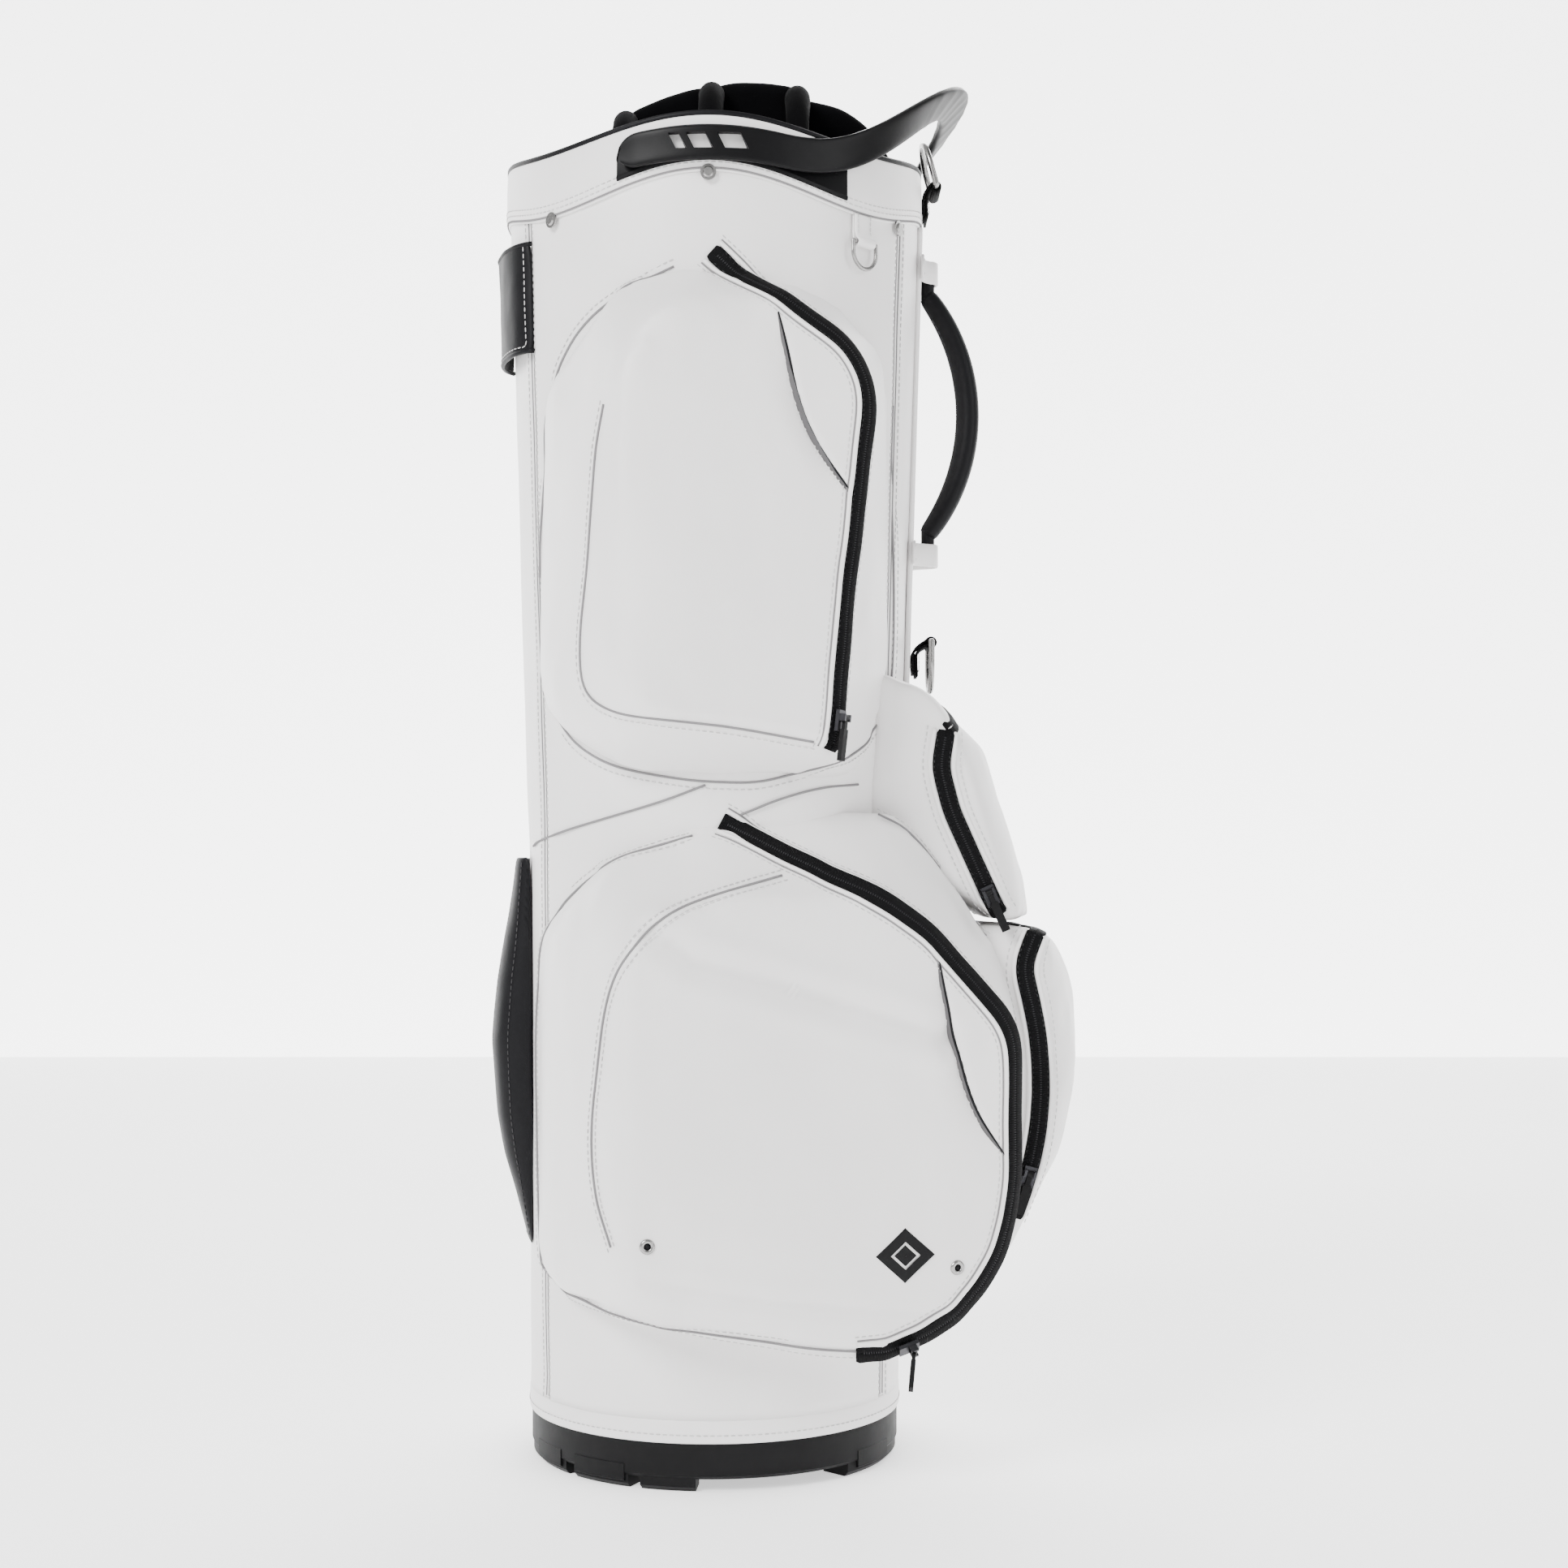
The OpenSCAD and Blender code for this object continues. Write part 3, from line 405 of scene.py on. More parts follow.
def loft(bm, rings, closed=False, caps=True):
    """Faces between rings of points. closed joins the last ring to the first, else caps close both ends."""
    size = len(rings[0])
    for a, b in zip(rings, rings[1:] + rings[:closed]):
        for k in range(size):
            bm.faces.new((a[k], a[(k + 1) % size], b[(k + 1) % size], b[k]))
    if caps and not closed:
        bm.faces.new(rings[0])
        bm.faces.new(reversed(rings[-1]))


def frames(path, normals, closed=False):
    """(tangent, across, up) at each point of a path."""
    count = len(path)
    out = []
    for i, (p, n) in enumerate(zip(path, normals)):
        before = path[(i - 1) % count] if closed or i else p
        after = path[(i + 1) % count] if closed or i + 1 < count else p
        tangent = (after - before).normalized()
        across = tangent.cross(n).normalized()
        out.append((tangent, across, across.cross(tangent).normalized()))
    return out


def shifted(path, normals, away):
    """A path moved sideways along its surface."""
    return [p + across * away for p, (_, across, _) in zip(path, frames(path, normals))]


def sweep_into(bm, path, normals, section, closed=False, taper=None):
    """A closed section, [(across, up)], swept along a path. UVs are metres along and round."""
    uv = bm.loops.layers.uv.verify()
    rings = []
    for i, (p, (_, across, up)) in enumerate(zip(path, frames(path, normals, closed))):
        scale = taper(i / (len(path) - 1)) if taper else 1
        rings.append([bm.verts.new(p + across * (a * scale) + up * (u * scale)) for a, u in section])
    size = len(section)
    girth = [0.0]
    for k in range(size):
        girth.append(girth[-1] + math.dist(section[k], section[(k + 1) % size]) * MM)
    along = 0.0
    spans = len(rings) if closed else len(rings) - 1
    for i in range(spans):
        a, b = rings[i], rings[(i + 1) % len(rings)]
        step = (path[(i + 1) % len(path)] - path[i]).length * MM
        for k in range(size):
            face = bm.faces.new((a[k], a[(k + 1) % size], b[(k + 1) % size], b[k]))
            for loop, place in zip(face.loops, ((along, girth[k]), (along, girth[k + 1]),
                                                (along + step, girth[k + 1]), (along + step, girth[k]))):
                loop[uv].uv = place
        along += step
    if not closed:
        bm.faces.new(rings[0])
        bm.faces.new(reversed(rings[-1]))


def sweep(name, path, normals, section, looks, closed=False, taper=None, **how):
    bm = bmesh.new()
    sweep_into(bm, path, normals, section, closed, taper)
    return add_piece(name, mesh_of(bm, name), looks, **how)


def sweeps(name, lines, section, looks, **how):
    """One piece of several swept lines, [(path, normals)]."""
    bm = bmesh.new()
    for path, normals in lines:
        sweep_into(bm, path, normals, section)
    return add_piece(name, mesh_of(bm, name), looks, **how)


def circle(radius, sides=10, lift=0.0):
    return [(radius * math.cos(math.tau * k / sides), radius * math.sin(math.tau * k / sides) + lift)
            for k in range(sides)]


def flat_section(width, thick):
    """A strap's section: flat, with eased edges."""
    w, t, e = width / 2, thick / 2, thick * 0.35
    return [(-w + e, -t), (0, -t), (w - e, -t), (w, -t + e), (w, t - e), (w - e, t), (0, t), (-w + e, t),
            (-w, t - e), (-w, -t + e)]


BEAD_SECTION = ((1, 0), (0.5, 0.87), (-0.5, 0.87), (-1, 0), (-0.5, -0.87), (0.5, -0.87))
BEAD_LENGTH = ((-0.5, 0.35), (-0.32, 1), (0.32, 1), (0.5, 0.35))      # (place along the bead, share of its girth)


def beads_into(bm, path, normals, pitch, size, shift=0.0, lift=0.0):
    """Small rounded bars laid along a path: stitches, or the coil's turns. size is (along, across, up)."""
    spots = even(path, pitch)
    last = len(normals) - 1
    picked = [normals[min(last, round(i * last / max(1, len(spots) - 1)))] for i in range(len(spots))]
    for p, (tangent, across, up) in zip(spots, frames(spots, picked)):
        centre = p + across * shift + up * lift
        loft(bm, [[bm.verts.new(centre + tangent * size[0] * t + across * size[1] / 2 * a * scale
                                + up * size[2] / 2 * u * scale) for a, u in BEAD_SECTION]
                  for t, scale in BEAD_LENGTH])


def stitches(name, runs, looks="thread", pitch=4.2, size=(2.9, 0.75, 0.6), **how):
    """One piece that holds every stitch of several (path, normals, shift) runs."""
    bm = bmesh.new()
    for path, normals, shift in runs:
        beads_into(bm, path, normals, pitch, size, shift, size[2] * 0.2)
    return add_piece(name, mesh_of(bm, name), looks, **how)


def surface_of(thing):
    """Lookup tree of a finished pocket together with the skin that it is sewn to, in millimetres."""
    points = [v.co / MM for v in thing.data.vertices]
    faces = [p.vertices[:] for p in thing.data.polygons]
    columns, rows = 300, [SKIN_LOW + 10 * k for k in range(77)]
    first = len(points)
    points += [at(1.2 * i, skin_r(z) + skin_wave(1.2 * i, z), z) for i in range(columns) for z in rows]
    for i in range(columns):
        a, b = first + i * len(rows), first + (i + 1) % columns * len(rows)
        faces += [(a + k, b + k, b + k + 1, a + k + 1) for k in range(len(rows) - 1)]
    return BVHTree.FromPolygons(points, faces)


def lay_on(path, surface, lift=0.0, aims=None):
    """Moves a path onto a surface: to the outermost point along each aim, or to the nearest point without aims.
    Returns the new path and its normals."""
    spots, normals = [], []
    for i, p in enumerate(path):
        spot, normal, _, _ = surface.find_nearest(p)
        if aims:
            hit = surface.ray_cast(p + aims[i] * 25, -aims[i], 150)
            if hit[0] is not None:
                spot, normal = hit[:2]
                if normal.dot(aims[i]) < 0:
                    normal = -normal
        spots.append(spot)
        normals.append(normal)
    for _ in range(3):
        normals = [sum(normals[max(0, i - 2):i + 3], Vector()).normalized() for i in range(len(normals))]
        spots = eased(spots)
    return [p + n * lift for p, n in zip(spots, normals)], normals


# ---------- the tube of the bag ----------

def skin_r(z):
    if z < WAIST_Z:
        return BASE_R + 1 + (WAIST_R - BASE_R - 1) * max(0, z - BASE_H) / (WAIST_Z - BASE_H)
    return WAIST_R + (SHOULDER_R - WAIST_R) * min(1, (z - WAIST_Z) / (SHOULDER_Z - WAIST_Z))


def at(angle, radius, z):
    """The point at an angle in degrees."""
    return Vector((radius * math.cos(math.radians(angle)), radius * math.sin(math.radians(angle)), z))


def wave(top, dip, angle):
    """Height of a wavy edge that peaks on the bag's four sides and dips between them."""
    return top - dip / 2 + dip / 2 * math.cos(math.radians(4 * angle))


def skin_wave(angle, z):
    """How far the padded skin stands in or out of its even shape."""
    p = at(angle, 120, z)
    ripple = 0.9 * noise.noise(Vector((p.x / 48, p.y / 48, z / 110)))
    crease = 0.5 * noise.noise(Vector((p.x / 22, p.y / 22, z / 60 + 9)))
    seam = min(abs((angle - s + 180) % 360 - 180) for s in SEAM_ANGLES) * math.radians(1) * skin_r(z)
    tuck = -1.5 * math.exp(-(seam / 3.2) ** 2) + 0.7 * math.exp(-((seam - 7) / 4) ** 2)
    ends = min(1, (z - SKIN_LOW) / 14, (SHOULDER_Z - z) / 14)
    return (ripple + crease) * max(0, ends) + tuck


def column_loft(name, grid):
    """A mesh from columns of points that go up its outer side and down its inner side."""
    bm = bmesh.new()
    loft(bm, [[bm.verts.new(p) for p in column] for column in grid])
    return mesh_of(bm, name)


def add_skin(name, start, end, replaces):
    columns, rows = round((end - start) / 1.6), round((SHOULDER_Z - SKIN_LOW) / 7)
    heights = [SKIN_LOW + (SHOULDER_Z - SKIN_LOW) * k / rows for k in range(rows + 1)]
    grid = []
    for i in range(columns + 1):
        angle = start + (end - start) * i / columns
        grid.append([at(angle, skin_r(z) + skin_wave(angle, z), z) for z in heights]
                    + [at(angle, skin_r(z) - 2.4, z) for z in reversed(heights)])
    add_piece(name, column_loft(name, grid), "white", replaces=replaces)


def seam_line(angle, low, high, shift=0.0):
    """A line up a seam of the skin, or shift beside it."""
    heights = [low + (high - low) * k / 120 for k in range(121)]
    turn = math.degrees(shift / WAIST_R)
    path = [at(angle + turn, skin_r(z) + skin_wave(angle + turn, z), z) for z in heights]
    return path, [at(angle + turn, 1, 0) for _ in heights]


def ring_line(height, radius, step=2.0):
    """A line round the bag, at a height that depends on the angle."""
    count = round(360 / step)
    angles = [360 * k / count for k in range(count)]
    return [at(a, radius, height(a)) for a in angles], [at(a, 1, 0) for a in angles]


def ring_run(height, radius, step=2.0):
    """The same line as a run of stitches, back to where it starts."""
    path, normals = ring_line(height, radius, step)
    return path + path[:1], normals + normals[:1], 0


SKINS = (("back_skin", 150.2, 209.8, "back_panel"), ("side_skin_far", 27.2, 149.8, "side_panel_far"),
         ("side_skin_near", 210.2, 332.8, "side_panel_near"), ("spine_skin", -26.8, 26.8, "spine_panel"))
WAIST_SEAMS = (((200, 395), (206, 398), (222, 404), (238, 411), (256, 421), (269, 431)),
               ((279, 413), (291, 423), (304, 430), (318, 433)))      # (angle, z)


def make_tube():
    def beside(inset, shift):
        """Lines on both sides of each seam, that end inset below the skin's top."""
        return [seam_line(angle, SKIN_LOW + 2, SHOULDER_Z - inset, side * shift)
                for angle in SEAM_ANGLES for side in SIDES]

    for name, start, end, node in SKINS:
        add_skin(name, start, end, [node])
    sweeps("skin_piping", [seam_line(angle, SKIN_LOW, SHOULDER_Z - 2) for angle in SEAM_ANGLES],
           circle(1.5, 8, -0.2), "white", replaces=["panel_piping"])
    # thin grey tubes of painted shadow beside each seam of the skin
    sweeps("skin_seam_shadows", beside(4, 1.9), circle(0.55, 6, 0.2), "shadow")
    # thin grey tubes of painted shadow along the waist seams
    waist = [smooth_path([at(a * near, skin_r(z) + 0.9, z) for a, z in line])
             for line in WAIST_SEAMS for near in (1, -1)]
    sweeps("waist_seam_shadows", [(path, radial(path)) for path in waist], circle(0.75, 8), "shadow")
    stitches("skin_stitches", [(*line, 0) for line in beside(6, 5)])
    make_cuff()
    make_collar()
    make_spine()


def make_cuff():
    """The band over the skin's foot, with the stitch line above the base."""
    r = BASE_R + 1
    section = [(r - 2.3, BASE_H), (r - 0.2, BASE_H), (r + 0.4, BASE_H + 1), (r + 0.5, 37), (r + 0.4, 43),
               (r - 0.2, 44.6), (r - 1.0, 44.6), (r - 2.3, 44)]
    lathe("cuff", lambda a: section, "white", replaces=["bottom_cuff"])
    stitches("cuff_stitches", [ring_run(lambda a: BASE_H + 5.2, r + 0.6)])


def lathe(name, section, looks, step=2.0, **how):
    """A closed section turned about the bag's axis. section(angle) gives its (radius, z) points."""
    bm = bmesh.new()
    count = round(360 / step)
    angles = [360 * i / count for i in range(count)]
    loft(bm, [[bm.verts.new(at(a, r, z)) for r, z in section(a)] for a in angles], closed=True)
    return add_piece(name, mesh_of(bm, name), looks, **how)


def seam_height(angle):
    return wave(SEAM_Z, SEAM_DIP, angle)


def rim_height(angle):
    return wave(RIM_Z, RIM_DIP, angle)


def collar_section(angle):
    low, high = seam_height(angle), rim_height(angle)
    middle = (low + high) / 2
    return [(BAND_R + out, z) for out, z in (
        (-1.5, low), (-0.4, low), (0.5, low + 1.6), (0.7, middle - 6), (0.6, middle + 4), (0.2, high - 2),
        (-0.6, high), (-1.5, high), (-1.5, middle))]


def make_collar():
    lathe("collar_skin", collar_section, "white", 1.5, replaces=["collar_band"])
    sweep("rim_piping", *ring_line(lambda a: rim_height(a) + 0.6, BAND_R - 1.6), circle(2.1, 10), "black",
          closed=True, replaces=["collar_piping"])
    stitches("collar_stitches", [ring_run(lambda a: seam_height(a) + up, BAND_R + 0.7, 1.5) for up in (3.6, 7.0)])
    sweep("collar_seam", *ring_line(lambda a: seam_height(a) - 0.4, SHOULDER_R + 0.5), circle(1.0, 8), "white",
          closed=True)
    # a thin grey tube of painted shadow along the collar's seam
    sweep("collar_seam_shadow", *ring_line(lambda a: seam_height(a) + 0.3, BAND_R + 0.2), circle(0.6, 6), "shadow",
          closed=True)


def make_spine():
    """The raised strip down the front that the rings and the grab handle are sewn to."""
    heights = [500 + (SHOULDER_Z - 504) * k / 60 for k in range(61)]
    path = [at(0, skin_r(z) + 2, z) for z in heights]
    normals = [OUT] * len(path)
    half = [(15.5, -3), (17.5, -1.5), (17.2, -0.2), (14, 0.8)]
    sweep("spine_strip", path, normals, [(-a, u) for a, u in half] + [(0, 1.4)] + half[::-1], "white")
    stitches("spine_stitches", [(path, normals, side * 13.2) for side in SIDES])


# ---------- divider top ----------

ROW_X = (-54, 0, 54)
SHORT_Y = ((-30, 30), (-54, 0, 54), (-54, 0, 54), (-30, 30))
ROW_ENDS = ((-118, -54), (-54, 0), (0, 54), (54, 118))
COLLAR_IN = 123.5
RAIL_FOOT = 815
DOME_Z, DOME_H, DOME_X = 822, 58, 25


def dome(x, y):
    """Height of the rails' tops."""
    reach = 150 if x < DOME_X else 190
    return DOME_Z + DOME_H * math.cos(math.pi / 2 * (x - DOME_X) / reach) * (1 - (math.hypot(x, y) / 126) ** 8)


def rail_into(bm, start, end, droop=0.0):
    """A padded rail: a bar with a soft rounded top that swells between its ends, which droop towards the rim."""
    length = (end - start).length
    steps = max(6, round(length / 5))
    along = (end - start).normalized()
    side = Vector((-along.y, along.x))
    rings = []
    for i in range(steps + 1):
        t = i / steps
        p = start + (end - start) * t
        top = DOME_Z + (dome(p.x, p.y) - DOME_Z) * (1 - droop * max(0, (abs(p.y) - 55) / (COLLAR_IN - 55)) ** 2)
        swell = math.sin(math.pi * t) ** 0.5
        pinch = noise.noise(Vector((p.x / 16, p.y / 16, length / 30)))
        half = 6.4 + 2.4 * swell + 0.9 * pinch
        crown = 1.2 * swell + 0.9 * pinch
        flank = [(0.72, RAIL_FOOT), (0.82, top - 14), (1, top - 8), (0.92, top - 3.5), (0.5, top - 0.5 + crown)]
        ring = []
        for s, z in [(-s, z) for s, z in flank] + [(0, top + 0.6 + crown)] + flank[::-1]:
            spot = p + side * s * half
            ring.append(bm.verts.new((spot.x, spot.y, max(z, RAIL_FOOT))))
        rings.append(ring)
    loft(bm, rings)


def rim_reach(offset):
    """How far a rail beside the middle runs before it meets the rim."""
    return math.sqrt(COLLAR_IN ** 2 - (abs(offset) + 6) ** 2)


def make_divider():
    bm = bmesh.new()
    for x in ROW_X:
        rail_into(bm, Vector((x, -rim_reach(x))), Vector((x, rim_reach(x))), 0.75)
    for (low, high), ys in zip(ROW_ENDS, SHORT_Y):
        for y in ys:
            rail_into(bm, Vector((max(low, -rim_reach(y)), y)), Vector((min(high, rim_reach(y)), y)))
    mesh = subdivided(mesh_of(bm, "divider_velour"))
    pads = add_piece("divider_velour", mesh, "velour", replaces=["divider_pads"])
    section = [(COLLAR_IN + out, z) for out, z in ((0.3, 812), (-5, 813), (-8.5, 817), (-8.5, 822), (-5, 826.5),
                                                   (0.3, 827))]
    roll = lathe("rim_velour", lambda a: section, "velour")


def modify(thing, kind, **settings):
    step = thing.modifiers.new(kind, kind)
    for key, value in settings.items():
        setattr(step, key, value)


def subdivided(mesh):
    """The mesh after one round of subdivision."""
    thing = linked("work", mesh)
    modify(thing, "SUBSURF", levels=1, render_levels=1)
    return applied(thing)


def applied(thing):
    """The mesh of an object with its modifiers applied. The object goes."""
    graph = bpy.context.evaluated_depsgraph_get()
    mesh = bpy.data.meshes.new_from_object(thing.evaluated_get(graph))
    mesh.name = thing.data.name
    bpy.data.objects.remove(thing)
    return mesh


# ---------- padded pockets ----------

def corner(a, b, c, radius, steps=7):
    """Points on the arc that rounds corner b."""
    u, w = (a - b).normalized(), (c - b).normalized()
    half = u.angle(w) / 2
    centre = b + (u + w).normalized() * radius / math.sin(half)
    first, last = b + u * radius / math.tan(half) - centre, b + w * radius / math.tan(half) - centre
    start = math.atan2(first.y, first.x)
    turn = (math.atan2(last.y, last.x) - start + math.pi) % math.tau - math.pi
    return [centre + Vector((math.cos(start + turn * i / steps), math.sin(start + turn * i / steps))) * radius
            for i in range(steps + 1)]


def rounded_run(outline, first, last):
    """Points round an outline of (x, z, corner radius) from corner first to corner last."""
    count = len(outline)
    spots = [Vector(p[:2]) for p in outline]
    run = []
    for i in range(first, last + 1):
        run += corner(spots[(i - 1) % count], spots[i % count], spots[(i + 1) % count], outline[i % count][2])
    return run


def outward(run, i):
    """The way out of an outline at one of its points."""
    along = run[min(i + 1, len(run) - 1)] - run[max(i - 1, 0)]
    return Vector((along.y, -along.x)).normalized()


def turned(x, y, z):
    """A point of the near pockets' frame, which is turned towards the front."""
    return Matrix.Rotation(POCKET_TURN, 3, "Z") @ Vector((x, y, z))


FACE = turned(0, -1, 0)         # the way that the near pockets face


SIM_FRAMES = 20
VOXEL = 5


def hull_mesh(nodes, keep=lambda p: True):
    """The convex hull of CAD nodes' points, in metres."""
    bm = bmesh.new()
    for node in nodes:
        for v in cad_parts[node].data.vertices:
            if keep(v.co / MM):
                bm.verts.new(v.co)
    bmesh.ops.remove_doubles(bm, verts=bm.verts, dist=1e-5)
    found = bmesh.ops.convex_hull(bm, input=bm.verts)
    loose = {v for v in found["geom_interior"] + found["geom_unused"] if isinstance(v, bmesh.types.BMVert)}
    bmesh.ops.delete(bm, geom=list(loose), context="VERTS")
    return baked(bm, "form")


def swollen(thing, held):
    """The mesh of an object after air pressure has swelled it where it isn't held."""
    cloth = thing.modifiers.new("cloth", "CLOTH")
    cloth.settings.use_pressure = True
    cloth.settings.uniform_pressure_force = 4
    cloth.settings.vertex_group_mass = held
    cloth.settings.effector_weights.gravity = 0
    cloth.settings.bending_stiffness = 3
    cloth.collision_settings.use_collision = False
    for step in range(1, SIM_FRAMES + 1):
        bpy.context.scene.frame_set(step)
    mesh = applied(thing)
    bpy.context.scene.frame_set(1)
    return mesh


def padded_mesh(name, mesh, held, cap):
    """Remeshes a closed form, lets air pressure swell it where it isn't held, and smooths it. held is
    (paths, radius): the seams, and how near them the fabric stays put. cap is the most that a point moves."""
    thing = linked(name, mesh)
    modify(thing, "REMESH", mode="VOXEL", voxel_size=VOXEL * MM)
    modify(thing, "SMOOTH", factor=0.5, iterations=6)
    mesh = applied(thing)
    paths, radius = held
    tree = BVHTree.FromPolygons(*line_mesh(paths))
    thing = linked(name, mesh)
    group = thing.vertex_groups.new(name="held")
    hold = []
    for v in mesh.vertices:
        p = v.co / MM
        sewn = math.hypot(p.x, p.y) < skin_r(p.z) + 2.5
        distance = tree.find_nearest(p)[3]
        hold.append(1.0 if sewn else max(0.0, 1 - max(0.0, distance - radius) / radius))
        group.add([v.index], hold[-1], "REPLACE")
    rest = [v.co.copy() for v in mesh.vertices]
    moved = swollen(thing, "held")
    for v, start, held_here in zip(moved.vertices, rest, hold):
        way = v.co - start
        limit = cap * MM * (1 - held_here)
        if way.length > limit:
            way = way.normalized() * limit
        v.co = start + way
    thing = linked(name, moved)
    modify(thing, "SMOOTH", factor=0.5, iterations=3)
    modify(thing, "SUBSURF", levels=1, render_levels=1)
    return applied(thing)


def line_mesh(paths):
    """Thin triangles along paths, so that a lookup tree can find them."""
    points, faces = [], []
    for path in paths:
        for a, b in zip(path, path[1:]):
            faces.append([len(points), len(points) + 1, len(points) + 2])
            points += [a, b, b + Vector((0.01, 0.01, 0.01))]
    return points, faces


def press_seams(mesh, paths, width, depth):
    """Sinks the fabric along seams, and lets it swell a little beside them."""
    tree = BVHTree.FromPolygons(*line_mesh(paths))
    normals = [v.normal.copy() for v in mesh.vertices]
    for v, normal in zip(mesh.vertices, normals):
        found = tree.find_nearest(v.co / MM, width * 4)
        if found[3] is None:
            continue
        t = found[3] / width
        v.co -= normal * (depth * (math.exp(-t * t) - 0.3 * math.exp(-(t - 2.2) ** 2))) * MM


def sink_beside(mesh, path, reach, depth):
    """Lets the fabric gape on the rear side of a slip pocket's mouth, most at its middle."""
    path = smooth_path(path)
    normals = [v.normal.copy() for v in mesh.vertices]
    ways = frames(path, [FACE] * len(path))
    for v, normal in zip(mesh.vertices, normals):
        p = v.co / MM
        if normal.dot(FACE) < 0.3:
            continue
        i = min(range(len(path)), key=lambda k: (path[k] - p).length_squared)
        aside = (path[i] - p).dot(ways[i][1])
        if (p - path[i]).length > reach * 1.5 or not -reach < aside < 1.5:
            continue
        share = (1 - min(1, max(0, -aside) / reach)) ** 2 * min(1, max(0, (1.5 - aside) / 3))
        v.co -= FACE * depth * share * math.sin(math.pi * i / (len(path) - 1)) * MM


def ripple(mesh, depth, size, stretch=(1, 1, 1)):
    """Soft unevenness of stuffed fabric."""
    normals = [v.normal.copy() for v in mesh.vertices]
    for v, normal in zip(mesh.vertices, normals):
        p = v.co / MM
        value = noise.noise(Vector([a * b for a, b in zip(p, stretch)]) / size)
        v.co += normal * value * depth * MM


ZIP_HALF = [(5.6, -0.5), (5.6, 0.1), (3.6, 0.45), (2.0, 0.75), (0.7, 0.75)]
ZIP_SECTION = [(-a, u) for a, u in ZIP_HALF] + [(0, 0.2)] + ZIP_HALF[::-1]


def make_zip(name, path, normals, replaces, mirror=True, wide=1.0):
    """Tape with the raised halves over the coil, and the coil's turns in the groove between them."""
    section = [(a * wide, u) for a, u in ZIP_SECTION]
    length = sum((b - a).length for a, b in zip(path, path[1:]))
    ends = lambda t: min(1, 0.8 + t * length / 12, 0.8 + (1 - t) * length / 12)
    sweep(name + "_tape", path, normals, section, "tape", taper=ends, replaces=replaces, mirror=mirror)
    bm = bmesh.new()
    beads_into(bm, path[2:-2], normals[2:-2], 1.5, (0.8, 2.4, 0.7), 0, 0.45)
    add_piece(name + "_coil", mesh_of(bm, name + "_coil"), "coil", mirror=mirror)
    runs = [(path[3:-3], normals[3:-3], side * 4.6) for side in SIDES]
    stitches(name + "_tape_stitches", runs, "dark_thread", 3.2, (2.2, 0.5, 0.45), mirror=mirror)


# The side pockets' flat faces, (x, z, corner radius), and the ends of their zips beyond them.
LOWER_FLAT = ((-96, 116, 40), (-8, 101, 60), (40, 85.5, 30), (153, 85, 103), (153, 285, 50), (96, 344, 50),
              (58, 369, 30), (-30, 369, 40), (-96, 346, 40))
LOWER_TIP = (-26, -127, 409)
UPPER_FLAT = ((-96, 466, 40), (39.5, 447, 4), (67, 688, 55), (4, 726, 30), (-66, 722, 40), (-96, 676, 50))
UPPER_TIP = (-34, -135, 753)


def bevel_path(run, face, end):
    """A zip's middle line on the bevel round a pocket's face, and the way out of it."""
    path, normals = [], []
    inset = BEVEL / 2 - math.sqrt(0.5)
    for i, p in enumerate(run):
        n = outward(run, i)
        path.append(turned(p.x - n.x * inset, -face + inset, p.y - n.y * inset))
        normals.append(turned(n.x, -1, n.y).normalized())
    tip = turned(*end)
    return path + [tip], normals + radial([tip])


def refined(path, normals):
    """Resamples a path with its normals along a smooth curve."""
    fine = even(path, 2.5)
    for _ in range(4):
        fine = eased(fine)
    out = []
    for p in fine:
        nearest = sorted(range(len(path)), key=lambda i: (path[i] - p).length)[:2]
        out.append(sum((normals[i] / ((path[i] - p).length + 0.5) for i in nearest), Vector()).normalized())
    return fine, out


def on_cloth(path, normals, surface):
    """Lays a zip's line on the finished fabric, leaning a little towards the way that its pocket faces."""
    laid, out = lay_on(path, surface, 0.9, normals)
    out = [(n + FACE * 0.7).normalized() for n in out]
    for _ in range(30):
        out = [n.normalized() for n in eased(out)]
    return laid, out


def make_seams(name, lines, surface, double=True):
    """Sunk seams: a thin grey tube of painted shadow along each line, with stitches beside it. Lines are (points,
    aim), and an aim of None is radial."""
    laid = []
    for points, aim in lines:
        path = smooth_path(points)
        laid.append(lay_on(path, surface, 0.4, [aim] * len(path) if aim else radial(path)))
    sweeps(name + "_seams", laid, circle(0.75, 8), "shadow", mirror=True)
    shifts = (4.2, -4.2) if double else (4.2,)
    stitches(name + "_stitches", [(*line, shift) for line in laid for shift in shifts], mirror=True)


def on_face(y, points):
    """Points given as (x, z) in front of a near pocket."""
    return [turned(x, y, z) for x, z in points]


def finish_side_pocket(level, mesh, zip_line, zip_wide, seams, double, slit):
    """The piece itself, and all that is sewn to it. Returns its lookup tree."""
    pocket = add_piece(level + "_pocket", mesh, "white", replaces=[level + "_gusset_near", level + "_panel_near"],
                       mirror=True)
    surface = surface_of(pocket)
    zip_line = on_cloth(*zip_line, surface)
    make_zip(level + "_zip", *zip_line, [level + "_zip_near"], wide=zip_wide)
    trim_zip(level, *zip_line, surface)
    make_seams(level, seams, surface, double)
    make_slit(level + "_slit", slit, surface)
    return surface


